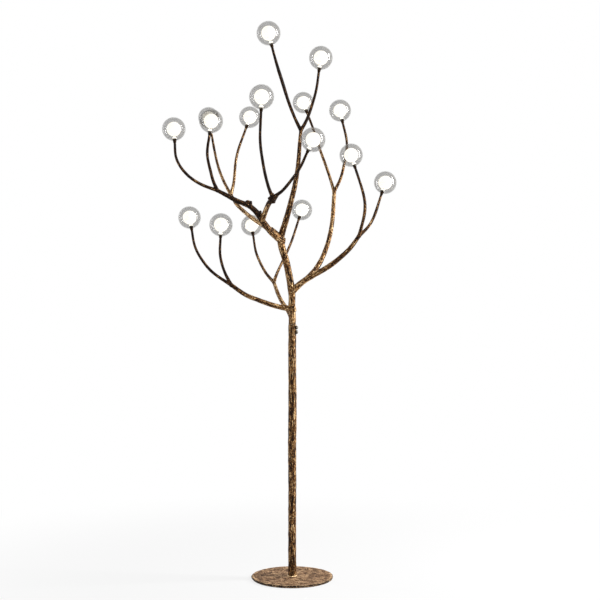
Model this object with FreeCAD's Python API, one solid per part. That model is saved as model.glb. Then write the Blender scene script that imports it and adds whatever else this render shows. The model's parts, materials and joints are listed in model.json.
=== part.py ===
# Tree floor lamp: a round iron foot, a bark-textured trunk and a bare branching crown
# that ends in sixteen double-walled glass globes. Millimetres, +Z up, +X to the right.
# The origin is the point on the floor under the trunk's axis.
import FreeCAD
import Part
import math
import os

Vector = FreeCAD.Vector

# ---- Driving dimensions (mm) ----

# Foot
base_radius = 144.0
plate_roof = 2.5
plate_edge_chamfer = 0.8
pad_radius = 137.0
pad_thickness = 1.5
recess_clearance = 4.0
recess_headroom = 1.7
grommet_length = 14.0
grommet_wall = 0.9
grommet_side_wall = 1.4
cord_radius = 2.0
cord_clearance = 0.1

# Foot fixing: hollow threaded nipple, washer and thin nut
nipple_radius = 5.0
nipple_wall = 1.6
nipple_hole_clearance = 0.25
nipple_grip = 20.0
nipple_stand_out = 0.2
washer_width = 7.0
washer_thickness = 1.0
nut_wall = 3.5
nut_thickness = 2.8

# Trunk
seam_height = 887.0
seam_gap = 0.3
tube_radius = 10.0
tube_wall = 1.8
foot_plug_length = 24.0
bush_length = 60.0
bush_wall = 1.75
connector_clearance = 1.2
connector_length = 26.0
trunk_cable_radius = 2.5
crown_connector_drop = 22.0

# Bark sleeve of the trunk: share of its length, sideways drift of its outside, thickness
bark_stations = [
    (0.0, 0.0, 5.2),
    (0.008, 0.0, 4.3),
    (0.06, 0.2, 3.7),
    (0.22, -0.4, 3.5),
    (0.36, 0.3, 3.8),
    (0.52, -0.7, 4.2),
    (0.6, 0.6, 4.1),
    (0.71, 0.7, 4.2),
    (0.83, -0.3, 3.6),
    (0.93, 0.0, 3.5),
    (0.98, 0.0, 4.0),
    (1.0, 0.0, 3.1),
]

# Crown spigot and the screws that lock it
spigot_wall = 1.8
spigot_depth = 54.0
spigot_rise = 15.0
turning_clearance = 0.05
screw_radius = 2.5
screw_drops = (11.0, 27.0)
screw_direction_deg = -15.0
screw_head_foot = 4.1
screw_head_height = 2.1
screw_head_radius = 3.2
screw_tip_gap = 0.1
screw_hex_across_flats = 2.5
screw_hex_depth = 1.4

# Branches
joint_clearance = 0.2
stem_radius = 12.2
crotch_radius = 14.2
stem_bore_radius = 5.0
limb_tenon_radius = 5.6
limb_tenon_length = 12.0
limb_bore_radius = 3.4
offshoot_bore_radius = 2.9
twig_tenon_radius = 3.5
twig_tenon_length = 9.0
twig_bore_radius = 2.1
twig_stub_length = 28.0
twig_root_radius = 5.5
twig_tip_radius = 4.4
tip_tenon_radius = 3.2
tip_tenon_length = 8.0
tip_passage_step = 0.4
root_flare = 0.16
root_flare_length = 26.0
knuckle_swell = 0.9
chamber_margin = 1.2
station_pitch = 24.0
run_pitch = 12.0

# Leads inside the branches
stem_lead_radius = 2.4
limb_lead_radius = 1.8
offshoot_lead_radius = 1.5
twig_lead_radius = 1.1
lead_jacket = 0.3
splice_margin = 0.7
lead_gap = 0.15

# Lamp heads
globe_radius = 40.0
globe_wall = 1.8
diffuser_radius = 26.0
diffuser_wall = 1.4
neck_radius = 9.3
neck_wall = 1.4
collar_clearance = 0.3
collar_inset = 7.5
collar_disc_thickness = 2.0
collar_length = 14.5
collar_mouth_wall = 2.1
collar_shoulder_wall = 3.2
holder_radius = 3.3
holder_length = 12.0
capsule_foot_radius = 2.9
capsule_foot_length = 6.0
capsule_radius = 4.5
capsule_length = 20.0
pin_radius = 0.35
pin_spacing = 4.0
pin_length = 5.0

# ---- Routes of the branches: points on each centre line, with heights counted from the seam ----

stem_route = [
    (-0.5, 0, 35),
    (-1.5, 0, 63),
    (-1, 0, 95),
    (-4, -1, 127),
    (-12, -4, 176),
    (-23, -9, 231),
    (-32, -15, 269),
    (-39, -20, 297),
]

# Limbs: points after the root, which lies on the parent's centre line
limb_routes = {
    "limb_a": [(-24, -3, 57), (-71, -8, 68), (-119, -14, 83), (-164, -18, 102), (-212, -14, 137)],
    "limb_b": [(-12, 14, 43), (-31, 45, 70), (-53, 95, 110), (-67, 140, 148)],
    "limb_c": [
        (26, 2, 141),
        (60, 2, 167),
        (116, -10, 198),
        (171, -26, 236),
        (204, -34, 269),
        (231, -40, 306),
    ],
    "limb_d": [(87, 40, 199), (121, 80, 263), (141, 103, 336), (150, 115, 416), (153, 122, 475)],
    "limb_e": [
        (-65, -50, 319),
        (-100, -92, 358),
        (-126, -108, 389),
        (-154, -118, 408),
        (-183, -124, 419),
        (-214, -128, 435),
        (-252, -130, 455),
    ],
    "limb_f": [(-102, -36, 344), (-138, 12, 370), (-174, 55, 401), (-199, 83, 427), (-221, 110, 462)],
    "limb_g": [(-91, -124, 382), (-79, -162, 405), (-64, -200, 425)],
    "limb_h": [
        (-20, -37, 366),
        (-5, -50, 421),
        (6, -62, 473),
        (18, -85, 553),
        (27, -107, 627),
        (30, -120, 659),
    ],
}

# Twigs: points after the fork, then the centre of the globe that the twig carries
twig_routes = {
    "twig_01": [(15, -128, 697), (-9, -144, 758), (-25, -160, 808), (-46, -183, 870), (-77, -211, 967)],
    "twig_02": [(46, -124, 687), (65, -130, 735), (82, -138, 795), (97, -148, 899)],
    "twig_03": [(-73, -212, 447), (-85, -240, 487), (-95, -280, 540), (-101, -318, 600), (-95, -359, 730)],
    "twig_04": [(142, 139, 515), (127, 168, 566), (105, 207, 634), (75, 247, 723), (39, 279, 823)],
    "twig_05": [(170, 126, 515), (187, 134, 579), (196, 141, 660), (172, 145, 771)],
    "twig_06": [(-213, 128, 502), (-209, 158, 564), (-201, 186, 626), (-158, 220, 759)],
    "twig_07": [(-264, -138, 482), (-274, -152, 520), (-279, -172, 576), (-268, -195, 679)],
    "twig_08": [
        (-292, -129, 469),
        (-336, -128, 496),
        (-371, -128, 530),
        (-393, -130, 573),
        (-399, -132, 662),
    ],
    "twig_09": [(-36, -222, 441), (-5, -248, 473), (27, -280, 514), (69, -316, 600)],
    "twig_10": [(245, -48, 345), (255, -62, 406), (242, -80, 469), (201, -99, 578)],
    "twig_11": [(269, -26, 342), (298, -8, 399), (326, 19, 497)],
    "twig_12": [(-241, -8, 155), (-282, 4, 185), (-319, 18, 229), (-345, 34, 280), (-364, 54, 377)],
    "twig_13": [(-227, -22, 165), (-241, -40, 203), (-248, -65, 251), (-242, -99, 341)],
    "twig_14": [(-95, 180, 180), (-119, 220, 221), (-138, 260, 268), (-156, 319, 367)],
    "twig_15": [(-60, 160, 170), (-41, 205, 210), (-21, 255, 254), (-3, 305, 303), (34, 380, 430)],
    "twig_16": [(-240, 140, 497), (-266, 196, 553), (-288, 262, 624), (-321, 359, 780)],
}

# Each limb: the piece it grows from and how far along that (None is its end), its radii at root
# and fork, the length of the stub that is cast with the parent, and the two twigs that it carries
limb_table = {
    "limb_a": dict(
        parent="crown_stem", root_at=54, radii=(9.3, 7.0), stub=36, twigs=("twig_12", "twig_13")
    ),
    "limb_b": dict(
        parent="crown_stem", root_at=18, radii=(8.2, 6.2), stub=36, twigs=("twig_14", "twig_15")
    ),
    "limb_c": dict(
        parent="crown_stem", root_at=112, radii=(11.0, 7.0), stub=32, twigs=("twig_10", "twig_11")
    ),
    "limb_d": dict(
        parent="limb_c", root_at=76, radii=(9.3, 6.8), stub=38, twigs=("twig_04", "twig_05")
    ),
    "limb_e": dict(
        parent="crown_stem", root_at=None, radii=(12.2, 6.6), stub=32, twigs=("twig_07", "twig_08")
    ),
    "limb_f": dict(
        parent="limb_e", root_at=71, radii=(8.0, 6.2), stub=36, twigs=("twig_06", "twig_16")
    ),
    "limb_g": dict(
        parent="limb_e", root_at=114, radii=(8.8, 8.2), stub=34, twigs=("twig_03", "twig_09")
    ),
    "limb_h": dict(
        parent="crown_stem", root_at=None, radii=(11.0, 6.0), stub=36, twigs=("twig_01", "twig_02")
    ),
}

# Broken-off twigs and knots left on the wood: node, foot, tip, radius at foot and tip
broken_twigs = {
    "crown_stem": [((-38, -21, 307), (-68, -21, 331), 5.2, 2.0)],
    "limb_e": [
        ((-146, -115, 401), (-145, -117, 424), 8.6, 6.6),
        ((-119, -104, 379), (-114, -106, 396), 9.0, 4.5),
    ],
    "limb_g": [((-64, -198, 421), (-69, -203, 440), 7.0, 4.0)],
}

# ---- Sizes worked out from the dimensions ----

cord_passage_radius = cord_radius + cord_clearance
channel_width = 2 * (cord_passage_radius + grommet_side_wall)
channel_depth = 2 * (cord_passage_radius + grommet_wall)
recess_depth = washer_thickness + nut_thickness + recess_headroom
washer_radius = nipple_radius + washer_width
recess_radius = washer_radius + recess_clearance
plate_underside = pad_thickness
plate_top = plate_underside + max(channel_depth, recess_depth) + plate_roof
recess_ceiling = plate_underside + recess_depth
nut_top = recess_ceiling - washer_thickness
nut_underside = nut_top - nut_thickness
tube_bore_radius = tube_radius - tube_wall
foot_plug_top = plate_top + foot_plug_length
foot_connector_top = foot_plug_top + connector_length
connector_radius = tube_bore_radius - connector_clearance
bush_underside = seam_height - bush_length
crown_connector_top = bush_underside - crown_connector_drop
crown_connector_underside = crown_connector_top - connector_length
spigot_radius = tube_bore_radius - bush_wall - turning_clearance
stem_underside = seam_height + seam_gap
stripped_lead_radius = twig_lead_radius - lead_jacket
collar_disc_radius = neck_radius - neck_wall - collar_clearance
collar_disc_depth = globe_radius - collar_inset
collar_mouth_depth = collar_disc_depth + collar_length
holder_top = -collar_disc_depth + holder_length


# ---- Small helpers ----


def cylinder(radius, low, high, x=0.0, y=0.0):
    """A round bar along Z from height low to height high."""
    return Part.makeCylinder(radius, high - low, Vector(x, y, low))


def ring(outer_radius, inner_radius, low, high):
    """A tube along Z."""
    return cylinder(outer_radius, low, high).cut(cylinder(inner_radius, low - 1, high + 1))


def one_solid(shape, name):
    """The single solid that a node has to be."""
    if len(shape.Solids) != 1:
        raise ValueError("%s has %d solids" % (name, len(shape.Solids)))
    solid = shape.Solids[0]
    if not solid.isValid():
        raise ValueError("%s is not a valid solid" % name)
    return solid


def hexagon_bar(across_flats, low, high):
    """A hexagonal bar along Z."""
    corner_radius = across_flats / 2 / math.cos(math.pi / 6)
    corners = []
    for index in range(7):
        angle = math.pi / 3 * index
        corners.append(Vector(corner_radius * math.cos(angle), corner_radius * math.sin(angle), low))
    face = Part.Face(Part.makePolygon(corners))
    return face.extrude(Vector(0, 0, high - low))


# ---- Branches ----


class Branch:
    """A tapering run of wood about a smooth centre line, with a bore for the lead inside it."""

    def __init__(self, route, wood, passage, seat, start_direction=None, end_direction=None):
        start_direction = start_direction or route[1] - route[0]
        end_direction = end_direction or route[-1] - route[-2]
        self.curve = Part.BSplineCurve()
        self.curve.interpolate(Points=route, InitialTangent=start_direction, FinalTangent=end_direction)
        self.length = self.curve.length()
        self.root_r, self.tip_r, self.flare = wood
        self.bore_r, self.lead_r = passage
        self.joint, self.tenon_r, self.tenon_length = seat
        bend = self.direction(0).cross(self.direction(self.length))
        if bend.Length < 0.05:
            bend = self.direction(0).cross(Vector(0, 1, 0))
        self.side = bend.normalize()

    def point(self, distance):
        """The point on the centre line at this distance from the root."""
        return self.curve.value(self.curve.parameterAtDistance(distance))

    def fork(self):
        """The far end of the centre line."""
        return self.point(self.length)

    def nearest(self, point):
        """The distance along the centre line of its place nearest to this point."""
        return self.curve.length(self.curve.FirstParameter, self.curve.parameter(point))

    def direction(self, distance):
        """The unit tangent there."""
        tangent = self.curve.tangent(self.curve.parameterAtDistance(distance))[0]
        return Vector(tangent).normalize()

    def wood_radius(self, distance):
        """Even taper from root to tip, flared where the branch leaves its parent."""
        share = distance / self.length
        flare = self.flare * self.root_r * math.exp(-((distance / root_flare_length) ** 2))
        return self.root_r + (self.tip_r - self.root_r) * share + flare

    def circle(self, distance, radius):
        """A circle square to the centre line, with a steady start direction."""
        normal = self.direction(distance)
        circle = Part.Circle(self.point(distance), normal, radius)
        circle.XAxis = self.side - normal * self.side.dot(normal)
        return Part.Wire(circle.toShape())

    def rings(self, start, end, pitch, radius_at):
        """Circles at even steps along the centre line."""
        count = max(2, math.ceil((end - start) / pitch))
        rings = []
        for index in range(count + 1):
            distance = start + (end - start) * index / count
            rings.append(self.circle(distance, radius_at(distance)))
        return rings

    def wood(self, start, end):
        """The outside of the branch, smooth along its length."""
        return Part.makeLoft(self.rings(start, end, station_pitch, self.wood_radius), True, False)

    def round_run(self, start, end, radius):
        """A run of constant radius, in short straight steps."""
        return Part.makeLoft(self.rings(start, end, run_pitch, lambda distance: radius), True, True)

    def bore(self, start, end):
        """The hollow for the lead."""
        return self.round_run(start, end, self.bore_r)

    def lead(self, start, end):
        """The lead itself."""
        return self.round_run(start, end, self.lead_r)

    def bar(self, distance, back, ahead, radius):
        """A straight round bar about the tangent, from back to ahead of this point."""
        direction = self.direction(distance)
        return Part.makeCylinder(radius, back + ahead, self.point(distance) - direction * back, direction)

    def stub(self):
        """The part of the branch that is cast with its parent, up to the joint."""
        return self.wood(0, self.joint)

    def socket(self):
        """The hole in the stub's end face that takes the tenon."""
        return self.bar(self.joint, self.tenon_length + joint_clearance, 1, self.tenon_r)

    def bore_start(self):
        """Where the bore begins, just short of the tenon's end."""
        return max(0, self.joint - self.tenon_length - 1)

    def tenon(self):
        """The turned-down end of the branch that goes into the socket."""
        return self.bar(self.joint, self.tenon_length, 1, self.tenon_r)


def above_seam(route):
    """The points of a route whose heights are counted from the seam."""
    return [Vector(x, y, z + seam_height) for x, y, z in route]


def make_stem():
    """The branch object of the crown's leader, which stands level on the trunk."""
    route = [Vector(0, 0, stem_underside)] + above_seam(stem_route)
    passage = (stem_bore_radius, stem_lead_radius)
    return Branch(route, (stem_radius, stem_radius, 0), passage, (0, 0, 0), start_direction=Vector(0, 0, 1))


def make_limb(name, parent):
    """The branch object of one limb."""
    entry = limb_table[name]
    root = parent.fork() if entry["root_at"] is None else parent.point(entry["root_at"])
    passage = (limb_bore_radius, limb_lead_radius)
    if entry["parent"] != "crown_stem":
        passage = (offshoot_bore_radius, offshoot_lead_radius)
    wood = (*entry["radii"], root_flare)
    seat = (entry["stub"], limb_tenon_radius, limb_tenon_length)
    return Branch([root] + above_seam(limb_routes[name]), wood, passage, seat)


def make_twig(name, parent):
    """The branch object of one twig: it stops at the mouth of its lamp collar."""
    route = [parent.fork()] + above_seam(twig_routes[name])
    centre = route[-1]
    direction = (centre - route[-2]).normalize()
    route[-1] = centre - direction * collar_mouth_depth
    wood = (twig_root_radius, twig_tip_radius, root_flare)
    passage = (twig_bore_radius, twig_lead_radius)
    seat = (twig_stub_length, twig_tenon_radius, twig_tenon_length)
    return Branch(route, wood, passage, seat, end_direction=direction)


def make_tree():
    """Every branch by name: the stem, the limbs and the twigs, parents first."""
    tree = {"crown_stem": make_stem()}
    for name, entry in limb_table.items():
        tree[name] = make_limb(name, tree[entry["parent"]])
        for twig_name in entry["twigs"]:
            tree[twig_name] = make_twig(twig_name, tree[name])
    return tree


tree = make_tree()
twig_names = sorted(twig_routes)


def children_of(name):
    """The branches that are cast on to this one as stubs."""
    names = [limb for limb, entry in limb_table.items() if entry["parent"] == name]
    if name in limb_table:
        names += limb_table[name]["twigs"]
    return [tree[child] for child in names]


def knots_on(name):
    """The stubs of broken-off twigs on this piece of wood."""
    knots = []
    for foot_point, tip_point, foot_r, tip_r in broken_twigs.get(name, []):
        foot, tip = above_seam([foot_point, tip_point])
        axis = tip - foot
        knots.append(Part.makeCone(foot_r, tip_r, axis.Length, foot, axis))
    return knots


def branch_casting(name, knuckle_radius, foot):
    """A branch with its fork, the stubs of what grows on it, and all their bores and sockets."""
    branch = tree[name]
    children = children_of(name)
    additions = [Part.makeSphere(knuckle_radius, branch.fork())]
    additions += [child.stub() for child in children]
    additions += knots_on(name)
    additions += foot
    wood = branch.wood(branch.joint, branch.length)
    for addition in additions:
        wood = wood.fuse(addition)
    hollows = [branch.bore(branch.bore_start(), branch.length)]
    hollows.append(Part.makeSphere(branch.bore_r + chamber_margin, branch.fork()))
    for child in children:
        hollows.append(child.bore(0, child.joint - child.tenon_length))
        hollows.append(child.socket())
    for hollow in hollows:
        wood = wood.cut(hollow)
    return wood


def crown_stem():
    """The crown's leader, from the seam to the crotch, with the stubs of the limbs."""
    wood = branch_casting("crown_stem", crotch_radius, [])
    socket_top = stem_underside + spigot_rise + joint_clearance
    wood = wood.cut(cylinder(spigot_radius, stem_underside - 1, socket_top))
    return one_solid(wood, "crown_stem")


def limb(name):
    """One limb, with the tenon at its root."""
    branch = tree[name]
    knuckle = branch.wood_radius(branch.length) + knuckle_swell
    return one_solid(branch_casting(name, knuckle, [branch.tenon()]), name)


def twig(name):
    """One twig, with a tenon at each end."""
    branch = tree[name]
    wood = branch.wood(branch.joint, branch.length)
    wood = wood.fuse([branch.tenon(), branch.bar(branch.length, 1, tip_tenon_length, tip_tenon_radius)])
    wood = wood.cut(branch.bore(branch.bore_start(), branch.length))
    passage_radius = branch.bore_r - tip_passage_step
    wood = wood.cut(branch.bar(branch.length, 1, tip_tenon_length + 1, passage_radius))
    return one_solid(wood, name)


# ---- Leads ----


def splice(parent):
    """The crimped ball at the end of a branch's lead, in the middle of its fork."""
    return Part.makeSphere(parent.lead_r + splice_margin, parent.fork())


def lead_start(child, parent, at_fork):
    """How far from its root a lead starts, so that its flat end just clears the parent's lead."""
    if at_fork:
        return parent.lead_r + splice_margin + lead_gap
    across = child.direction(0).getAngle(parent.direction(parent.nearest(child.point(0))))
    reach = parent.lead_r + child.lead_r * math.cos(across) + lead_gap
    return reach / math.sin(across)


def crown_leads():
    """The leads inside the crown: one up the stem, one in each limb and twig, meeting at the forks."""
    stem = tree["crown_stem"]
    riser = cylinder(stem_lead_radius, crown_connector_top, stem_underside)
    leads = [riser.fuse(stem.lead(0, stem.length)).fuse(splice(stem))]
    for name, entry in limb_table.items():
        branch = tree[name]
        start = lead_start(branch, tree[entry["parent"]], entry["root_at"] is None)
        leads.append(branch.lead(start, branch.length).fuse(splice(branch)))
        for twig_name in entry["twigs"]:
            twig_branch = tree[twig_name]
            lead = twig_branch.lead(lead_start(twig_branch, branch, True), twig_branch.length)
            tail = twig_branch.bar(twig_branch.length, 1, collar_length, stripped_lead_radius)
            leads.append(lead.fuse(tail))
    return [one_solid(lead, "crown lead") for lead in leads]


# ---- Lamp heads, drawn about the globe's centre with the twig coming from below ----


def head_placement(twig_branch):
    """Where a lamp head sits: its axis continues the twig's end."""
    direction = twig_branch.direction(twig_branch.length)
    centre = twig_branch.fork() + direction * collar_mouth_depth
    return FreeCAD.Placement(centre, FreeCAD.Rotation(Vector(0, 0, 1), direction))


def outer_globe():
    """Clear glass globe, open at the neck."""
    shell = Part.makeSphere(globe_radius).cut(Part.makeSphere(globe_radius - globe_wall))
    return shell.cut(cylinder(neck_radius, -globe_radius - 1, -diffuser_radius))


def inner_diffuser():
    """Frosted ball with the neck that joins it to the clear globe."""
    neck_end = -math.sqrt(globe_radius**2 - neck_radius**2)
    body = Part.makeSphere(diffuser_radius).fuse(cylinder(neck_radius, neck_end, -diffuser_radius / 2))
    body = body.cut(Part.makeSphere(diffuser_radius - diffuser_wall))
    return body.cut(cylinder(neck_radius - neck_wall, neck_end - 1, -diffuser_radius / 2))


def lamp_collar():
    """Turned cup on the twig's end, with the disc that closes the neck."""
    cup_top = -collar_disc_depth - collar_disc_thickness
    cup_length = collar_length - collar_disc_thickness
    mouth_radius = tip_tenon_radius + collar_mouth_wall
    shoulder_radius = tip_tenon_radius + collar_shoulder_wall
    cup = Part.makeCone(mouth_radius, shoulder_radius, cup_length, Vector(0, 0, -collar_mouth_depth))
    collar = cup.fuse(cylinder(collar_disc_radius, cup_top, -collar_disc_depth))
    socket_end = -collar_mouth_depth + tip_tenon_length + joint_clearance
    collar = collar.cut(cylinder(tip_tenon_radius, -collar_mouth_depth - 1, socket_end))
    lead_hole_radius = stripped_lead_radius + cord_clearance
    return collar.cut(cylinder(lead_hole_radius, -collar_mouth_depth, -collar_disc_depth + 1))


def lamp_holder():
    """Two-pin lamp holder that stands on the collar's disc."""
    body = cylinder(holder_radius, -collar_disc_depth, holder_top)
    for side in (-1, 1):
        offset = side * pin_spacing / 2
        body = body.cut(cylinder(pin_radius, holder_top - pin_length, holder_top + 1, offset))
    return body


def lamp_capsule():
    """Light-emitting capsule with its two pins."""
    foot = cylinder(capsule_foot_radius, holder_top, holder_top + capsule_foot_length)
    dome_height = holder_top + capsule_length - capsule_radius
    body = cylinder(capsule_radius, holder_top + capsule_foot_length, dome_height)
    capsule = foot.fuse([body, Part.makeSphere(capsule_radius, Vector(0, 0, dome_height))])
    for side in (-1, 1):
        pin = cylinder(pin_radius, holder_top - pin_length, holder_top, side * pin_spacing / 2)
        capsule = capsule.fuse(pin)
    return capsule


def on_each_twig(shape):
    """A copy of a lamp head's piece on every twig, in the twigs' order."""
    copies = []
    for name in twig_names:
        copy = shape.copy()
        copy.Placement = head_placement(tree[name])
        copies.append(copy)
    return copies


# ---- Foot ----


def base_plate():
    """Round plate with a recess for the nut and a channel for the cord on its underside."""
    plate = cylinder(base_radius, plate_underside, plate_top)
    rims = [edge for edge in plate.Edges if isinstance(edge.Curve, Part.Circle)]
    plate = plate.makeChamfer(plate_edge_chamfer, rims)
    plate = plate.cut(cylinder(recess_radius, plate_underside - 1, recess_ceiling))
    plate = plate.cut(cord_channel(0, base_radius + 1))
    plate = plate.cut(cylinder(nipple_radius + nipple_hole_clearance, 0, plate_top + 1))
    return one_solid(plate, "base_plate")


def cord_channel(start, end):
    """The room that the cord takes under the plate, from the middle towards the back rim."""
    corner = Vector(-channel_width / 2, start, plate_underside)
    return Part.makeBox(channel_width, end - start, channel_depth, corner)


def cord_grommet():
    """Rubber block in the channel's mouth, flush with the rim."""
    block = cord_channel(base_radius - grommet_length, base_radius + 1)
    block = block.common(cylinder(base_radius - plate_edge_chamfer, plate_underside, plate_top))
    start = Vector(0, base_radius - grommet_length - 1, plate_underside + channel_depth / 2)
    passage = Part.makeCylinder(cord_passage_radius, grommet_length + 2, start, Vector(0, 1, 0))
    return one_solid(block.cut(passage), "cord_grommet")


def base_pad():
    """Felt sheet under the plate."""
    return cylinder(pad_radius, 0, pad_thickness)


def foot_nipple():
    """Hollow threaded nipple that ties the trunk to the plate."""
    underside = nut_underside - nipple_stand_out
    return ring(nipple_radius, nipple_radius - nipple_wall, underside, plate_top + nipple_grip)


def foot_washer():
    return ring(washer_radius, nipple_radius + nipple_hole_clearance, nut_top, recess_ceiling)


def foot_nut():
    nut = hexagon_bar(2 * (nipple_radius + nut_wall), nut_underside, nut_top)
    return nut.cut(cylinder(nipple_radius, nut_underside - 1, nut_top + 1))


# ---- Trunk ----


def foot_plug():
    """Threaded plug welded into the tube's lower end."""
    return ring(tube_bore_radius, nipple_radius, plate_top, foot_plug_top)


def screw_bar(radius, start, end, drop):
    """A bar across the trunk's wall, in the direction of the lock screws."""
    angle = math.radians(screw_direction_deg)
    direction = Vector(math.cos(angle), math.sin(angle), 0)
    foot = Vector(0, 0, seam_height - drop) + direction * start
    return Part.makeCylinder(radius, end - start, foot, direction)


def drilled(shape):
    """The shape with the holes of the lock screws."""
    for drop in screw_drops:
        shape = shape.cut(screw_bar(screw_radius, 0, 2 * tube_radius, drop))
    return shape


def trunk_tube():
    """Steel tube that carries the crown."""
    return drilled(ring(tube_radius, tube_bore_radius, plate_top, seam_height))


def trunk_bark():
    """Cast sleeve round the tube, slightly uneven along its length."""
    rings = []
    for share, drift, thickness in bark_stations:
        centre = Vector(drift, 0, plate_top + share * (seam_height - plate_top))
        circle = Part.Circle(centre, Vector(0, 0, 1), tube_radius + thickness)
        rings.append(Part.Wire(circle.toShape()))
    bark = Part.makeLoft(rings, True, False)
    bark = bark.cut(cylinder(tube_radius, plate_top - 1, seam_height + 1))
    return one_solid(drilled(bark), "trunk_bark")


def trunk_bush():
    """Brass bush in the tube's upper end, in which the crown's spigot turns."""
    return drilled(ring(tube_bore_radius, spigot_radius + turning_clearance, bush_underside, seam_height))


def crown_spigot():
    """Hollow spigot that is fixed in the crown's stem and plugs into the bush."""
    underside = seam_height - spigot_depth
    return ring(spigot_radius, spigot_radius - spigot_wall, underside, stem_underside + spigot_rise)


def lock_screws():
    """The two screws that hold the crown, with a hexagon socket in each head."""
    screws = []
    head_foot = tube_radius + screw_head_foot
    head_end = head_foot + screw_head_height
    for drop in screw_drops:
        screw = screw_bar(screw_radius, spigot_radius + screw_tip_gap, head_end, drop)
        screw = screw.fuse(screw_bar(screw_head_radius, head_foot, head_end, drop))
        hexagon = hexagon_bar(screw_hex_across_flats, head_end - screw_hex_depth, head_end + 1)
        hexagon.rotate(Vector(0, 0, 0), Vector(0, 1, 0), 90)
        hexagon.rotate(Vector(0, 0, 0), Vector(0, 0, 1), screw_direction_deg)
        hexagon.translate(Vector(0, 0, seam_height - drop))
        screws.append(one_solid(screw.cut(hexagon), "lock screw"))
    return screws


def lead_connectors():
    """The plug-in connectors at both ends of the trunk's cable."""
    foot = cylinder(connector_radius, foot_plug_top, foot_connector_top)
    crown = cylinder(connector_radius, crown_connector_underside, crown_connector_top)
    return [foot, crown]


def trunk_cable():
    """The cable between the two connectors."""
    return cylinder(trunk_cable_radius, foot_connector_top, crown_connector_underside)


# ---- Writing the nodes ----


def nodes():
    """Every node's name and shape."""
    yield "base_plate", base_plate()
    yield "base_pad", base_pad()
    yield "cord_grommet", cord_grommet()
    yield "foot_nipple", foot_nipple()
    yield "foot_washer", foot_washer()
    yield "foot_nut", foot_nut()
    yield "foot_plug", foot_plug()
    yield "trunk_tube", trunk_tube()
    yield "trunk_bark", trunk_bark()
    yield "trunk_bush", trunk_bush()
    yield "trunk_cable", trunk_cable()
    yield "lead_connectors", Part.Compound(lead_connectors())
    yield "lock_screws", Part.Compound(lock_screws())
    yield "crown_spigot", crown_spigot()
    yield "crown_stem", crown_stem()
    for name in limb_table:
        yield name, limb(name)
    for name in twig_names:
        yield name, twig(name)
    yield "crown_leads", Part.Compound(crown_leads())
    for index, globe in enumerate(on_each_twig(outer_globe())):
        yield "outer_globe_%02d" % (index + 1), globe
    yield "inner_diffusers", Part.Compound(on_each_twig(inner_diffuser()))
    yield "lamp_collars", Part.Compound(on_each_twig(lamp_collar()))
    yield "lamp_holders", Part.Compound(on_each_twig(lamp_holder()))
    yield "lamp_capsules", Part.Compound(on_each_twig(lamp_capsule()))


def main():
    os.makedirs("parts", exist_ok=True)
    for name, shape in nodes():
        shape.exportStep("parts/%s.step" % name)
        print("%-18s %3d solids %12.1f mm3" % (name, len(shape.Solids), shape.Volume))


if __name__ == "__main__":
    main()
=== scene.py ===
"""A floor lamp in the shape of a bare tree.

Bark-worked brass wood stands on a rough disc foot and carries sixteen double-walled glass globes.
"""

import enum
import json
import logging
import math
from dataclasses import dataclass, field

import bmesh
import bpy
import numpy as np
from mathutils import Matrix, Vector
from mathutils.kdtree import KDTree

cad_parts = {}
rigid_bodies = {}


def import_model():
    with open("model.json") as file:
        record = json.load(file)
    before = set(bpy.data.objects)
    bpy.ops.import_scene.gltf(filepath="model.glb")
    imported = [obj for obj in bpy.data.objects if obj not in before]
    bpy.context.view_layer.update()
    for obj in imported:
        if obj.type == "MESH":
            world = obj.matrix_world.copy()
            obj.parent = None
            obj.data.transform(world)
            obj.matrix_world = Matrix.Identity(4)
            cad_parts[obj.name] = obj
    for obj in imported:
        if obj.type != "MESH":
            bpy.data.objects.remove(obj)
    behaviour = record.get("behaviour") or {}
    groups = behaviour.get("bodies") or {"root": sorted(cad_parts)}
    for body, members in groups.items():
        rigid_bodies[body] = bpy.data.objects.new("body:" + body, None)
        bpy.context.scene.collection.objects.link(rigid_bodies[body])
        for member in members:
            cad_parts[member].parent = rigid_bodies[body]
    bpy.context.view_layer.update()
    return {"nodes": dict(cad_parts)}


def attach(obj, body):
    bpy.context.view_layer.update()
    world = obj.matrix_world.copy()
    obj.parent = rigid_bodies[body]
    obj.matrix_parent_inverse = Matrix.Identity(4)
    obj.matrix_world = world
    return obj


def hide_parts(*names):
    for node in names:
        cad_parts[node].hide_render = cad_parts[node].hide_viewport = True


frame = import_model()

log = logging.getLogger("tree_lamp")

# Metres in a millimetre; every length below is in millimetres unless it says otherwise
MM = 0.001

# The seam between trunk and crown, the foot's top, and how far below a globe's centre its twig ends
SEAM_HEIGHT = 887.0
SEAM_GAP = 0.3
PLATE_TOP = 10.0
COLLAR_MOUTH_DEPTH = 47.0

# The hash behind the noise, and how much finer and weaker each of its layers is
HASH_STRIDES = (73856093, 19349663, 83492791)
HASH_SEED_STEP = 7919
HASH_FIRST = 2654435761
HASH_SECOND = 2246822519
HASH_WORD = 0xFFFFFFFF
FINER = 2.03
WEAKER = 0.55

# Samples on each run of a curve, rings in a stub, and the size of the lumps in the wood
CURVE_STEPS = 24
STUB_RINGS = 6
LUMP_SIZE = 17.0

Point = tuple[float, float, float]
Colour = tuple[float, float, float]
Section = list[tuple[float, float]]
Rims = list[tuple[int, ...]]


class Seed(enum.IntEnum):
    """Which of the many noises shapes each form."""

    CROWN = 11
    TRUNK = 23
    BEAD = 47
    RIM = 61
    CHIPS = 71
    TEARS = 83
    DENTS = 91


# ---------------------------------------------------------------- noise and lines


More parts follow.
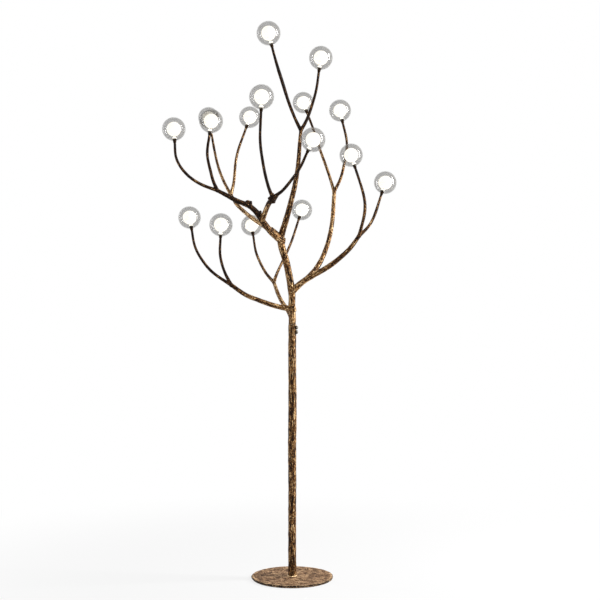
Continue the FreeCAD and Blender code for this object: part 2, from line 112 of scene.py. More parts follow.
def lattice_noise(points: np.ndarray, seed: int) -> np.ndarray:
    """Smooth noise from a hashed grid of unit cells.

    Args:
        points: the places, as n rows of x, y and z in cells.
        seed: which of the many noises.

    Returns:
        One value from -1 to 1 for each place.
    """
    cell = np.floor(points).astype(np.int64)
    part = points - cell
    fade = part * part * (3 - 2 * part)
    total = np.zeros(len(points))
    for corner in range(8):
        step = np.array([corner & 1, corner >> 1 & 1, corner >> 2 & 1])
        key = (cell + step) @ np.array(HASH_STRIDES) + seed * HASH_SEED_STEP
        key = (key * HASH_FIRST) & HASH_WORD
        key = ((key ^ (key >> 15)) * HASH_SECOND) & HASH_WORD
        key = (key ^ (key >> 13)) & HASH_WORD
        weight = np.where(step == 1, fade, 1 - fade).prod(axis=1)
        total += weight * (2 * key / (HASH_WORD + 1) - 1)
    return total


def layered_noise(points: np.ndarray, seed: int, layers: int) -> np.ndarray:
    """Noise with finer and weaker layers on top of it.

    Args:
        points: the places, in cells of the coarsest layer.
        seed: which noise.
        layers: how many layers, each about twice as fine as the one before.

    Returns:
        Values from about -1 to 1.
    """
    total = np.zeros(len(points))
    reach = 0.0
    for layer in range(layers):
        total += lattice_noise(points * FINER**layer, seed + layer) * WEAKER**layer
        reach += WEAKER**layer
    return total / reach


def smooth_line(points: np.ndarray, start: np.ndarray, end: np.ndarray, pitch: float) -> np.ndarray:
    """A smooth curve through points, sampled at even steps.

    Args:
        points: the points that it passes through.
        start: its direction at the first point.
        end: its direction at the last point.
        pitch: the length of a step.

    Returns:
        The samples, as rows of x, y and z.
    """
    runs = np.linalg.norm(np.diff(points, axis=0), axis=1)
    count = len(points)
    matrix = np.eye(count)
    right = np.zeros((count, 3))
    right[0] = start / np.linalg.norm(start)
    right[-1] = end / np.linalg.norm(end)
    for i in range(1, count - 1):
        before, after = runs[i - 1], runs[i]
        matrix[i, i - 1 : i + 2] = after, 2 * (before + after), before
        rise = (points[i] - points[i - 1]) * after / before
        right[i] = 3 * (rise + (points[i + 1] - points[i]) * before / after)
    slopes = np.linalg.solve(matrix, right)
    samples = []
    for i in range(count - 1):
        t = np.arange(CURVE_STEPS)[:, None] / CURVE_STEPS
        a, b = points[i], points[i + 1]
        run = runs[i]
        curve = (2 * t**3 - 3 * t**2 + 1) * a + (t**3 - 2 * t**2 + t) * run * slopes[i]
        samples.append(curve + (3 * t**2 - 2 * t**3) * b + (t**3 - t**2) * run * slopes[i + 1])
    dense = np.vstack([*samples, points[-1:]])
    lengths = np.concatenate([[0], np.cumsum(np.linalg.norm(np.diff(dense, axis=0), axis=1))])
    even = np.linspace(0, lengths[-1], max(4, int(lengths[-1] / pitch)))
    return np.stack([np.interp(even, lengths, dense[:, axis]) for axis in range(3)], axis=1)


# ---------------------------------------------------------------- the wood's lines


@dataclass
class WoodLine:
    """One run of wood: its centre line in millimetres and its radius at each sample."""

    name: str
    samples: np.ndarray
    radii: np.ndarray
    lengths: np.ndarray = field(init=False)
    tangents: np.ndarray = field(init=False)
    across: np.ndarray = field(init=False)
    beside: np.ndarray = field(init=False)

    def __post_init__(self) -> None:
        """Works out the lengths, the tangents and a frame that doesn't twist."""
        steps = np.diff(self.samples, axis=0)
        self.lengths = np.concatenate([[0], np.cumsum(np.linalg.norm(steps, axis=1))])
        tangents = np.gradient(self.samples, axis=0)
        self.tangents = tangents / np.linalg.norm(tangents, axis=1)[:, None]
        across = np.zeros_like(self.samples)
        guess = np.array([1.0, 0.0, 0.0])
        for i, tangent in enumerate(self.tangents):
            guess = guess - tangent * (guess @ tangent)
            guess = guess / np.linalg.norm(guess)
            across[i] = guess
        self.across = across
        self.beside = np.cross(self.tangents, across)

    def at(self, distance: float | None) -> np.ndarray:
        """Finds a point on the line.

        Args:
            distance: how far it is from the root, or None for the far end.

        Returns:
            The point.
        """
        if distance is None:
            return self.samples[-1]
        return np.array([np.interp(distance, self.lengths, self.samples[:, axis]) for axis in range(3)])

    def tube(self, sides: int, lumps: float, seed: int) -> tuple[np.ndarray, Rims]:
        """A closed, slightly lumpy tube round the line.

        Args:
            sides: how many sides it has.
            lumps: how much its radius wanders, as a share.
            seed: which noise moves it.

        Returns:
            Its corners and its faces.
        """
        angles = np.linspace(0, 2 * math.pi, sides, endpoint=False)
        corners = []
        for i, centre in enumerate(self.samples):
            ring = np.outer(np.cos(angles), self.across[i]) + np.outer(np.sin(angles), self.beside[i])
            places = (centre + ring * self.radii[i]) / LUMP_SIZE
            swell = 1 + lumps * layered_noise(places, seed, 2)
            corners.append(centre + ring * (self.radii[i] * swell)[:, None])
        corners = np.vstack(corners)
        count = len(self.samples)
        faces = []
        for i in range(count - 1):
            for j in range(sides):
                k = (j + 1) % sides
                faces.append((i * sides + j, i * sides + k, (i + 1) * sides + k, (i + 1) * sides + j))
        faces.append(tuple(range(sides - 1, -1, -1)))
        faces.append(tuple((count - 1) * sides + j for j in range(sides)))
        return corners, faces


@dataclass(frozen=True)
class Limb:
    """A limb of the crown: its parent, how far along it roots, its points above the seam, and its radii."""

    parent: str
    root_at: float | None
    points: tuple[Point, ...]
    radii: tuple[float, float]


# The points of the stem, limbs and twigs, with heights above the seam
STEM = (
    (-0.5, 0, 35),
    (-1.5, 0, 63),
    (-1, 0, 95),
    (-4, -1, 127),
    (-12, -4, 176),
    (-25, -9, 231),
    (-36, -15, 269),
    (-42, -20, 297),
)

LIMBS = {
    "limb_a": Limb(
        "crown_stem",
        54,
        ((-24, -3, 57), (-71, -8, 68), (-119, -14, 85), (-164, -18, 104), (-212, -14, 137)),
        (9.3, 7.0),
    ),
    "limb_b": Limb(
        "crown_stem",
        18,
        ((-12, 14, 43), (-31, 45, 70), (-53, 95, 110), (-67, 140, 148)),
        (8.2, 6.2),
    ),
    "limb_c": Limb(
        "crown_stem",
        112,
        ((26, 2, 140), (60, 2, 164), (116, -10, 195), (171, -26, 236), (204, -34, 269), (231, -40, 306)),
        (11.0, 7.0),
    ),
    "limb_d": Limb(
        "limb_c",
        76,
        ((86, 40, 199), (118, 80, 263), (138, 103, 336), (147, 115, 416), (150, 122, 475)),
        (9.3, 6.8),
    ),
    "limb_e": Limb(
        "crown_stem",
        None,
        (
            (-67, -50, 315),
            (-101, -92, 355),
            (-126, -108, 389),
            (-154, -118, 408),
            (-183, -124, 419),
            (-214, -128, 435),
            (-252, -130, 455),
        ),
        (12.2, 6.6),
    ),
    "limb_f": Limb(
        "limb_e",
        71,
        ((-102, -36, 344), (-138, 12, 370), (-174, 55, 401), (-199, 83, 427), (-221, 110, 462)),
        (8.0, 6.2),
    ),
    "limb_g": Limb(
        "limb_e",
        114,
        ((-91, -124, 382), (-79, -162, 405), (-64, -200, 425)),
        (8.8, 8.2),
    ),
    "limb_h": Limb(
        "crown_stem",
        None,
        ((-20, -37, 366), (-5, -50, 421), (8, -62, 473), (21, -85, 553), (27, -107, 627), (30, -120, 659)),
        (11.0, 6.0),
    ),
}

TWIGS = {
    "twig_01": (
        "limb_h",
        ((11, -128, 697), (-14, -144, 758), (-31, -160, 808), (-51, -183, 870), (-77, -211, 967)),
    ),
    "twig_02": ("limb_h", ((46, -124, 687), (65, -130, 735), (82, -138, 795), (97, -148, 899))),
    "twig_03": (
        "limb_g",
        ((-73, -212, 447), (-85, -240, 487), (-95, -280, 540), (-101, -318, 600), (-95, -359, 730)),
    ),
    "twig_04": (
        "limb_d",
        ((139, 139, 515), (124, 168, 566), (102, 207, 634), (75, 247, 723), (39, 279, 823)),
    ),
    "twig_05": ("limb_d", ((170, 126, 515), (187, 134, 579), (196, 141, 660), (172, 145, 771))),
    "twig_06": ("limb_f", ((-213, 128, 502), (-209, 158, 564), (-201, 186, 626), (-158, 220, 759))),
    "twig_07": ("limb_e", ((-264, -138, 482), (-274, -152, 520), (-283, -172, 576), (-268, -195, 679))),
    "twig_08": (
        "limb_e",
        ((-292, -129, 469), (-336, -128, 493), (-371, -128, 527), (-393, -130, 573), (-399, -132, 662)),
    ),
    "twig_09": ("limb_g", ((-36, -222, 441), (-5, -248, 473), (27, -280, 514), (69, -316, 600))),
    "twig_10": ("limb_c", ((241, -48, 345), (250, -62, 406), (238, -80, 469), (201, -99, 578))),
    "twig_11": ("limb_c", ((266, -26, 342), (293, -8, 399), (326, 19, 497))),
    "twig_12": (
        "limb_a",
        ((-241, -8, 155), (-282, 4, 185), (-319, 18, 229), (-345, 34, 280), (-364, 54, 377)),
    ),
    "twig_13": ("limb_a", ((-227, -22, 165), (-241, -40, 203), (-248, -65, 251), (-242, -99, 341))),
    "twig_14": ("limb_b", ((-95, 180, 180), (-119, 220, 221), (-138, 260, 268), (-156, 319, 367))),
    "twig_15": (
        "limb_b",
        ((-61, 160, 170), (-45, 205, 210), (-26, 255, 254), (-6, 305, 303), (34, 380, 430)),
    ),
    "twig_16": ("limb_f", ((-240, 140, 497), (-266, 196, 553), (-288, 262, 624), (-321, 359, 780))),
}

# A stem's, a twig's and the trunk's radii; the trunk's go with heights above the disc, as its drift does
STEM_RADII = (12.2, 12.2)
TWIG_RADII = (5.5, 4.4)
TRUNK_RADII = (
    (0, 15.4),
    (6, 14.6),
    (50, 13.8),
    (190, 13.6),
    (320, 13.9),
    (460, 14.2),
    (530, 14.4),
    (620, 14.2),
    (730, 13.6),
    (815, 13.6),
    (860, 13.9),
    (876, 13.2),
)
TRUNK_DRIFT = ((0, 0), (190, -0.4), (320, 0.3), (455, -0.7), (530, 0.6), (625, 0.7), (730, -0.3), (877, 0))


@dataclass(frozen=True)
class Stub:
    """A broken-off twig or a knot: its foot and tip above the seam, and its radius at each."""

    foot: Point
    tip: Point
    foot_radius: float
    tip_radius: float


STUBS = (
    Stub((-42, -20, 308), (-72, -22, 339), 6.4, 1.6),
    Stub((-148, -115, 401), (-152, -117, 423), 10.6, 5.2),
    Stub((-144, -115, 401), (-140, -117, 421), 9.6, 4.6),
    Stub((-160, -118, 406), (-167, -119, 419), 7.5, 2.8),
    Stub((-119, -104, 372), (-113, -106, 382), 12.0, 7.0),
    Stub((-118, -105, 376), (-122, -108, 393), 8.0, 3.0),
    Stub((-110, -104, 374), (-106, -106, 389), 7.0, 3.0),
    Stub((-66, -196, 408), (-65, -202, 422), 11.0, 12.5),
    Stub((-64, -198, 420), (-63, -204, 440), 10.0, 3.0),
    Stub((-66, -198, 418), (-79, -204, 423), 9.0, 3.4),
    Stub((-60, -200, 420), (-46, -202, 432), 9.4, 3.6),
    Stub((-33, -14, 285), (-27, -22, 300), 9.0, 5.0),
    Stub((1, -4, 62), (9, -6, 44), 11.0, 6.0),
)

# How far the gold shows through the patina at a line's root, middle and end, from 0, nearly
# black, to 1, golden. Partly real rub and partly painted light and shade: the front twigs and dark
# knots are set dark as painted shade, and the rear limbs and twigs lighter as painted light
RUB_AND_LIGHT = {
    "crown_stem": (0.70, 0.62, 0.72),
    "limb_a": (0.78, 0.56, 0.36),
    "limb_b": (0.88, 0.80, 0.70),
    "limb_c": (1.00, 0.48, 0.44),
    "limb_d": (0.66, 0.66, 0.66),
    "limb_e": (0.90, 0.02, 0.16),
    "limb_f": (0.92, 0.88, 0.80),
    "limb_g": (0.76, 0.78, 0.02),
    "limb_h": (0.46, 0.56, 0.60),
    "twig_01": (0.12, 0.05, 0.02),
    "twig_02": (0.40, 0.16, 0.02),
    "twig_03": (0.02, 0.06, 0.02),
    "twig_04": (0.66, 0.60, 0.40),
    "twig_05": (0.62, 0.56, 0.34),
    "twig_06": (0.70, 0.60, 0.30),
    "twig_07": (0.24, 0.14, 0.04),
    "twig_08": (0.24, 0.14, 0.04),
    "twig_09": (0.02, 0.06, 0.02),
    "twig_10": (0.46, 0.36, 0.16),
    "twig_11": (0.46, 0.36, 0.16),
    "twig_12": (0.40, 0.26, 0.10),
    "twig_13": (0.34, 0.24, 0.08),
    "twig_14": (0.52, 0.38, 0.14),
    "twig_15": (0.60, 0.46, 0.20),
    "twig_16": (0.70, 0.60, 0.26),
    "trunk": (0.50, 0.56, 0.66),
}


# ---------------------------------------------------------------- materials


class Socket:
    """A value or a colour in a material's tree, on which arithmetic adds nodes."""

    def __init__(self, tree: "Tree", link: bpy.types.NodeSocket) -> None:
        """Keeps the tree and the output socket."""
        self.tree = tree
        self.link = link

    def math(self, operation: str, first: "Socket | float", second: "Socket | float") -> "Socket":
        """One Math node on two values."""
        return self.tree.add("ShaderNodeMath", {"operation": operation}, {0: first, 1: second})

    def __add__(self, other: "Socket | float") -> "Socket":
        """self + other"""
        return self.math("ADD", self, other)

    def __radd__(self, other: float) -> "Socket":
        """other + self"""
        return self.math("ADD", other, self)

    def __sub__(self, other: "Socket | float") -> "Socket":
        """self - other"""
        return self.math("SUBTRACT", self, other)

    def __rsub__(self, other: float) -> "Socket":
        """other - self"""
        return self.math("SUBTRACT", other, self)

    def __mul__(self, other: "Socket | float") -> "Socket":
        """self * other"""
        return self.math("MULTIPLY", self, other)

    def __rmul__(self, other: float) -> "Socket":
        """other * self"""
        return self.math("MULTIPLY", other, self)

    def __truediv__(self, other: "Socket | float") -> "Socket":
        """self / other"""
        return self.math("DIVIDE", self, other)

    def __rtruediv__(self, other: float) -> "Socket":
        """other / self"""
        return self.math("DIVIDE", other, self)

    def clamp(self) -> "Socket":
        """self kept from 0 to 1."""
        return self.tree.add("ShaderNodeClamp", {}, {"Value": self})

    def band(self, low: float, high: float) -> "Socket":
        """0 below low, 1 above high, and a smooth rise between."""
        inputs = {"Value": self, "From Min": low, "From Max": high}
        return self.tree.add("ShaderNodeMapRange", {"interpolation_type": "SMOOTHSTEP"}, inputs)


Value = Socket | float | Colour | tuple[float, float, float, float]


@dataclass(frozen=True)
class Noise:
    """A noise texture's cells in a unit of its vector, its layers of detail and their strength."""

    scale: float
    detail: float
    roughness: float = 0.55


class Tree:
    """A material or a world and the nodes in it."""

    def __init__(self, owner: bpy.types.ID) -> None:
        """Starts an empty tree.

        Args:
            owner: the material or the world.
        """
        owner.use_nodes = True
        self.nodes = owner.node_tree.nodes
        self.links = owner.node_tree.links
        self.nodes.clear()

    def add(self, kind: str, settings: dict, inputs: dict, output: int | str = 0) -> Socket:
        """Adds one node.

        Args:
            kind: the node's type.
            settings: its own settings; "stops" are a ramp's positions and colours.
            inputs: a value or a socket for each of its inputs, by name or number.
            output: which of its outputs is wanted.

        Returns:
            That output.
        """
        node = self.nodes.new(kind)
        for name, value in settings.items():
            if name == "stops":
                self.fill_ramp(node.color_ramp, value)
            else:
                setattr(node, name, value)
        for name, value in inputs.items():
            if isinstance(value, Socket):
                self.links.new(value.link, node.inputs[name])
            else:
                node.inputs[name].default_value = value
        return Socket(self, node.outputs[output] if len(node.outputs) else None)

    @staticmethod
    def fill_ramp(ramp: bpy.types.ColorRamp, stops: tuple[tuple[float, Colour], ...]) -> None:
        """Sets a ramp's stops.

        Args:
            ramp: the ramp, which starts with two stops.
            stops: the position and the colour of each stop.
        """
        while len(ramp.elements) < len(stops):
            ramp.elements.new(1.0)
        for element, (position, colour) in zip(ramp.elements, stops):
            element.position = position
            element.color = (*colour, 1.0)

    def noise(self, where: Socket, kind: Noise) -> Socket:
        """A noise texture's value."""
        inputs = {"Vector": where, "Scale": kind.scale, "Detail": kind.detail, "Roughness": kind.roughness}
        return self.add("ShaderNodeTexNoise", {}, inputs)

    def ramp(self, value: Socket, stops: tuple[tuple[float, Colour], ...]) -> Socket:
        """Colours by value."""
        return self.add("ShaderNodeValToRGB", {"stops": stops}, {"Fac": value})

    def mix(self, share: Socket | float, first: Socket | Colour, second: Socket | Colour) -> Socket:
        """Two colours mixed.

        Args:
            share: how much of the second.
            first: the first colour.
            second: the second colour.

        Returns:
            The mixed colour.
        """
        settings = {"data_type": "RGBA", "blend_type": "MIX"}
        pair = [(*c, 1.0) if isinstance(c, tuple) else c for c in (first, second)]
        return self.add("ShaderNodeMix", settings, {0: share, 6: pair[0], 7: pair[1]}, 2)

    def stretch(self, where: Socket, scale: Point) -> Socket:
        """A vector multiplied along each axis."""
        return self.add("ShaderNodeVectorMath", {"operation": "MULTIPLY"}, {0: where, 1: scale})

    def length(self, where: Socket) -> Socket:
        """The length of a vector."""
        return self.add("ShaderNodeVectorMath", {"operation": "LENGTH"}, {0: where}, "Value")

    def place(self) -> Socket:
        """The place on the object, in metres."""
        return self.add("ShaderNodeTexCoord", {}, {}, "Object")

    def bump(self, height: Socket, strength: float, distance: float) -> Socket:
        """A surface direction tipped by a height."""
        inputs = {"Height": height, "Strength": strength, "Distance": distance}
        return self.add("ShaderNodeBump", {}, inputs)

    def principled(self, **values: Value) -> Socket:
        """The main shader.

        Args:
            values: a value or a socket for each input, with underscores for the spaces in its name.

        Returns:
            The shader.
        """
        inputs = {}
        for name, value in values.items():
            wide = isinstance(value, tuple) and len(value) == 3
            inputs[name.replace("_", " ")] = (*value, 1.0) if wide else value
        return self.add("ShaderNodeBsdfPrincipled", {}, inputs)

    def surface(self, shader: Socket) -> None:
        """Shows a shader on the surface."""
        self.add("ShaderNodeOutputMaterial", {}, {"Surface": shader})


class Finish:
    """Something that a surface is made of. A subclass fills its tree."""

    name: str = "finish"
    _made: dict[str, bpy.types.Material] = {}

    def shade(self, tree: Tree) -> Socket:
        """The shader of this finish."""
        raise NotImplementedError

    def material(self) -> bpy.types.Material:
        """Makes the material when it is first asked for.

        Returns:
            The material.
        """
        if self.name not in self._made:
            made = bpy.data.materials.new(self.name)
            tree = Tree(made)
            tree.surface(self.shade(tree))
            self._made[self.name] = made
        return self._made[self.name]

    def dress(self, piece: bpy.types.Object) -> None:
        """Gives the whole piece this finish."""
        piece.data.materials.clear()
        piece.data.materials.append(self.material())


@dataclass(frozen=True)
class BarkBrass(Finish):
    """Cast brass chased like bark: dark patina in the grooves, rubbed gold on the ridges, and painted light
    and shade by branch.
    """

    name: str = "bark_brass"
    groove: Colour = (0.008, 0.003, 0.001)
    brown: Colour = (0.040, 0.014, 0.004)
    bronze: Colour = (0.140, 0.056, 0.014)
    gold: Colour = (0.43, 0.205, 0.058)
    worn: Colour = (0.97, 0.71, 0.39)
    streaks: Noise = Noise(1.7, 5.0, 0.62)
    flakes: Noise = Noise(1.5, 3.0, 0.6)
    flake_stretch: Point = (1.0, 1.0, 7.0)
    patches: Noise = Noise(22.0, 2.0)
    relief_weight: float = 1.6
    streak_weight: float = 2.6
    flake_weight: float = 2.4
    patch_weight: float = 0.4
    rub_and_light_weight: float = 0.7
    level: float = 3.72
    bump_depth: float = 0.0014

    def shade(self, tree: Tree) -> Socket:
        """Lays streaks along the grain over the relief that the mesh carries.

        Args:
            tree: the material's tree.

        Returns:
            The shader.
        """
        relief = tree.add("ShaderNodeAttribute", {"attribute_name": "relief"}, {}, "Fac")
        # rubbed: each branch's rubbed gold with its painted light and shade, which lifts or sinks the whole
        # ramp
        rubbed = tree.add("ShaderNodeAttribute", {"attribute_name": "rubbed"}, {}, "Fac")
        grain = tree.add("ShaderNodeAttribute", {"attribute_name": "grain"}, {}, "Vector")
        streaks = tree.noise(grain, self.streaks)
        flakes = tree.noise(tree.stretch(grain, self.flake_stretch), self.flakes)
        patches = tree.noise(tree.place(), self.patches)
        height = relief * self.relief_weight + streaks * self.streak_weight + flakes * self.flake_weight
        height = height + patches * self.patch_weight + rubbed * self.rub_and_light_weight - self.level
        stops = (
            (0.10, self.groove),
            (0.32, self.brown),
            (0.50, self.bronze),
            (0.70, self.gold),
            (0.96, self.worn),
        )
        colour = tree.ramp(height, stops)
        rub = height.band(0.3, 0.85)
        bumps = streaks * 0.7 + flakes * 0.5
        return tree.principled(
            Base_Color=colour,
            Metallic=0.05 + rub * 0.4,
            Roughness=0.6 - rub * 0.2,
            Specular_IOR_Level=0.12,
            Normal=tree.bump(bumps, 0.9, self.bump_depth),
        )


@dataclass(frozen=True)
class PlateIron(Finish):
    """The foot's disc: brown patina, mottled, brushed in places and dark at its cut rim."""

    name: str = "plate_iron"
    rim: Colour = (0.010, 0.005, 0.003)
    dark: Colour = (0.026, 0.011, 0.005)
    brown: Colour = (0.110, 0.042, 0.016)
    tan: Colour = (0.290, 0.140, 0.060)
    pale: Colour = (0.76, 0.52, 0.30)
    radius_in_metres: float = 0.1435
    clouds: Noise = Noise(62.0, 6.0, 0.66)
    specks: Noise = Noise(300.0, 3.0, 0.7)
    brushing: Noise = Noise(260.0, 2.0)
    brush_stretch: Point = (0.3, 1.0, 1.0)
    cloud_weight: float = 2.4
    speck_weight: float = 4.0
    brush_weight: float = 1.4
    lip_wear_and_highlight_weight: float = 0.24
    level: float = 3.45
    bump_depth: float = 0.0014

    def shade(self, tree: Tree) -> Socket:
        """Mottles the disc in its plane, with a pale band inside the rim, partly wear and partly painted
        highlight, and a dark rim and side.

        Args:
            tree: the material's tree.

        Returns:
            The shader.
        """
        place = tree.place()
        clouds = tree.noise(place, self.clouds)
        specks = tree.noise(place, self.specks)
        brushed = tree.noise(tree.stretch(place, self.brush_stretch), self.brushing)
        out = tree.length(tree.stretch(place, (1.0, 1.0, 0.0)))
        share = out / self.radius_in_metres + clouds * 0.03
        # lip: pale band just inside the rim, partly edge wear and partly a painted highlight on the rounded
        # edge
        lip = share.band(0.93, 0.965) * (1 - share.band(0.98, 1.0))
        tone = clouds * self.cloud_weight + specks * self.speck_weight + brushed * self.brush_weight
        tone = tone + lip * self.lip_wear_and_highlight_weight - self.level
        stops = ((0.20, self.dark), (0.40, self.brown), (0.58, self.tan), (0.86, self.pale))
        colour = tree.ramp(tone, stops)
        edge = (share + specks * 0.04).band(0.995, 1.015)
        chips = tone.band(0.62, 0.8)
        colour = tree.mix(edge * (1 - chips * 0.8), colour, self.rim)
        return tree.principled(
            Base_Color=colour,
            Metallic=0.3 - edge * 0.2,
            Roughness=0.62 + specks * 0.2,
            Specular_IOR_Level=0.15,
            Normal=tree.bump(clouds * 0.6 + specks * 0.5, 0.6, self.bump_depth),
        )


class Metal(enum.Enum):
    """The plain metals of the small pieces: colour, roughness and how blotchy they are."""

    SCREW_STEEL = ("screw_steel", (0.28, 0.255, 0.22), 0.26, 0.10)
    FIXING_STEEL = ("fixing_steel", (0.50, 0.50, 0.49), 0.34, 0.16)
    BUSH_BRASS = ("bush_brass", (0.66, 0.47, 0.20), 0.30, 0.14)
    COLLAR_BRASS = ("collar_brass", (0.022, 0.011, 0.005), 0.42, 0.5)


@dataclass(frozen=True)
class TurnedMetal(Finish):
    """Turned or drawn metal with faint tool marks and blotches."""

    metal: Metal = Metal.FIXING_STEEL
    clouds: Noise = Noise(210.0, 4.0)
    marks: Noise = Noise(700.0, 2.0)
    mark_stretch: Point = (1.0, 1.0, 7.0)
    mark_depth: float = 0.0002

    @property
    def name(self) -> str:
        """The material's name."""
        return self.metal.value[0]

    def shade(self, tree: Tree) -> Socket:
        """Puts blotches in the colour and fine marks in the roughness.

        Args:
            tree: the material's tree.

        Returns:
            The shader.
        """
        _, colour, roughness, blotch = self.metal.value
        place = tree.place()
        clouds = tree.noise(place, self.clouds)
        marks = tree.noise(tree.stretch(place, self.mark_stretch), self.marks)
        dull = tuple(part * (1 - blotch) for part in colour)
        bright = tuple(min(1.0, part * (1 + blotch)) for part in colour)
        return tree.principled(
            Base_Color=tree.mix(clouds, dull, bright),
            Metallic=0.95,
            Roughness=roughness + marks * 0.16,
            Normal=tree.bump(marks, 0.15, self.mark_depth),
        )


@dataclass(frozen=True)
class ClearGlass(Finish):
    """Thin clear blown glass: see-through, grey where the wall is seen on the slant, and glossy."""

    name: str = "clear_glass"
    tint: Colour = (0.095, 0.084, 0.068)
    thinnest: float = 0.17
    slanted: float = 0.10
    waved: float = 0.05
    waves: Noise = Noise(60.0, 2.0)
    gloss: float = 0.05
    ior: float = 1.45

    def shade(self, tree: Tree) -> Socket:
        """Lays a gloss that grows towards the rim over a see-through body.

        Args:
            tree: the material's tree.

        Returns:
            The shader.
        """
        slant = tree.add("ShaderNodeLayerWeight", {}, {"Blend": 0.35}, "Facing")
        waves = tree.noise(tree.place(), self.waves)
        body = tree.principled(
            Base_Color=self.tint,
            Roughness=0.06,
            IOR=self.ior,
            Alpha=self.thinnest + slant * self.slanted + waves * self.waved,
            Specular_IOR_Level=0.3,
        )
        white = (1.0, 1.0, 1.0, 1.0)
        gloss = tree.add("ShaderNodeBsdfGlossy", {}, {"Color": white, "Roughness": 0.03})
        shine = tree.add("ShaderNodeFresnel", {}, {"IOR": self.ior})
        return tree.add("ShaderNodeMixShader", {}, {0: shine * self.gloss, 1: body, 2: gloss})


@dataclass(frozen=True)
class FrostedGlow(Finish):
    """Satin white glass, lit from inside by a warm lamp."""

    name: str = "frosted_glass"
    body: Colour = (0.93, 0.92, 0.90)
    light: Colour = (1.0, 0.965, 0.86)
    edge: Colour = (1.0, 0.93, 0.78)
    strength: float = 1.5
    clouds: Noise = Noise(90.0, 3.0)

    def shade(self, tree: Tree) -> Socket:
        """Gives an even warm glow with faint clouds from the frosting.

        Args:
            tree: the material's tree.

        Returns:
            The shader.
        """
        clouds = tree.noise(tree.place(), self.clouds)
        glow = tree.mix(clouds.band(0.3, 0.7), self.light, self.edge)
        return tree.principled(
            Base_Color=self.body,
            Roughness=0.35 + clouds * 0.1,
            Emission_Color=glow,
            Emission_Strength=self.strength,
        )


class Stuff(enum.Enum):
    """The soft and the moulded stuffs: two colours, roughness, grains in a metre and depth in metres."""

    FELT = ("pad_felt", (0.045, 0.042, 0.04), (0.09, 0.085, 0.08), 0.95, 900.0, 0.0008)
    RUBBER = ("grommet_rubber", (0.018, 0.018, 0.018), (0.035, 0.034, 0.033), 0.62, 400.0, 0.0002)
    NYLON = ("connector_nylon", (0.72, 0.70, 0.64), (0.80, 0.78, 0.72), 0.45, 300.0, 0.0001)
    JACKET = ("lead_jacket", (0.022, 0.022, 0.024), (0.05, 0.05, 0.052), 0.5, 500.0, 0.0002)
    CERAMIC = ("holder_ceramic", (0.30, 0.17, 0.085), (0.42, 0.26, 0.14), 0.3, 350.0, 0.0001)
    LENS = ("capsule_lens", (0.90, 0.82, 0.58), (0.95, 0.88, 0.66), 0.22, 200.0, 0.0001)


@dataclass(frozen=True)
class Moulded(Finish):
    """Felt, rubber, nylon, ceramic and the like, with their fine grain."""

    stuff: Stuff = Stuff.NYLON

    @property
    def name(self) -> str:
        """The material's name."""
        return self.stuff.value[0]

    def shade(self, tree: Tree) -> Socket:
        """Mixes two close colours through a fine grain.

        Args:
            tree: the material's tree.

        Returns:
            The shader.
        """
        _, low, high, roughness, fineness, depth = self.stuff.value
        grain = tree.noise(tree.place(), Noise(fineness, 4.0))
        return tree.principled(
            Base_Color=tree.mix(grain, low, high),
            Roughness=roughness - grain * 0.12,
            Normal=tree.bump(grain, 0.4, depth),
        )


# ---------------------------------------------------------------- mesh helpers


def new_piece(name: str, corners: np.ndarray, faces: Rims) -> bpy.types.Object:
    """A mesh object from corners in millimetres.

    Args:
        name: its name.
        corners: rows of x, y and z.
        faces: corner numbers, counter-clockwise from outside.

    Returns:
        The object, in the scene.
    """
    mesh = bpy.data.meshes.new(name)
    mesh.from_pydata((corners * MM).tolist(), [], faces)
    mesh.validate()
    piece = bpy.data.objects.new(name, mesh)
    bpy.context.scene.collection.objects.link(piece)
    return piece


def apply_modifiers(piece: bpy.types.Object) -> None:
    """Turns what the modifiers show into the piece's own mesh.

    Args:
        piece: the piece with the modifiers.
    """
    graph = bpy.context.evaluated_depsgraph_get()
    mesh = bpy.data.meshes.new_from_object(piece.evaluated_get(graph))
    piece.modifiers.clear()
    old = piece.data
    piece.data = mesh
    bpy.data.meshes.remove(old)


def vectors_of(piece: bpy.types.Object, name: str) -> np.ndarray:
    """Reads a vector at each corner of a piece.

    Args:
        piece: the piece.
        name: "co" for the places in metres, or "normal" for the outward directions.

    Returns:
        The vectors, as rows of x, y and z.
    """
    flat = np.empty(len(piece.data.vertices) * 3)
    piece.data.vertices.foreach_get(name, flat)
    return flat.reshape(-1, 3)


def move_corners(piece: bpy.types.Object, corners: np.ndarray) -> None:
    """Puts the corners of a piece in new places, in metres."""
    piece.data.vertices.foreach_set("co", corners.ravel())
    piece.data.update()


def store(piece: bpy.types.Object, name: str, values: np.ndarray) -> None:
    """Keeps a number or a vector for each corner, for the finish to read.

    Args:
        piece: the piece.
        name: the name that the finish reads it by.
        values: the numbers, or rows of x, y and z.
    """
    wide = values.ndim == 2
    kept = piece.data.attributes.new(name, "FLOAT_VECTOR" if wide else "FLOAT", "POINT")
    kept.data.foreach_set("vector" if wide else "value", values.ravel())


def turned_rings(profile: Section, sides: int) -> tuple[np.ndarray, Rims]:
    """A section turned round the z axis.

    Args:
        profile: radius and height of each point of a closed section, anticlockwise with z upwards.
        sides: how many steps it turns in.

    Returns:
        The corners, in the profile's units, and the faces.
    """
    angles = np.linspace(0, 2 * math.pi, sides, endpoint=False)
    rings = []
    for radius, height in profile:
        circle = [radius * np.cos(angles), radius * np.sin(angles)]
        rings.append(np.column_stack([*circle, np.full(sides, height)]))
    count = len(profile)
    faces = []
    for i in range(count):
        after = (i + 1) % count
        for j in range(sides):
            k = (j + 1) % sides
            faces.append((i * sides + j, i * sides + k, after * sides + k, after * sides + j))
    return np.vstack(rings), faces


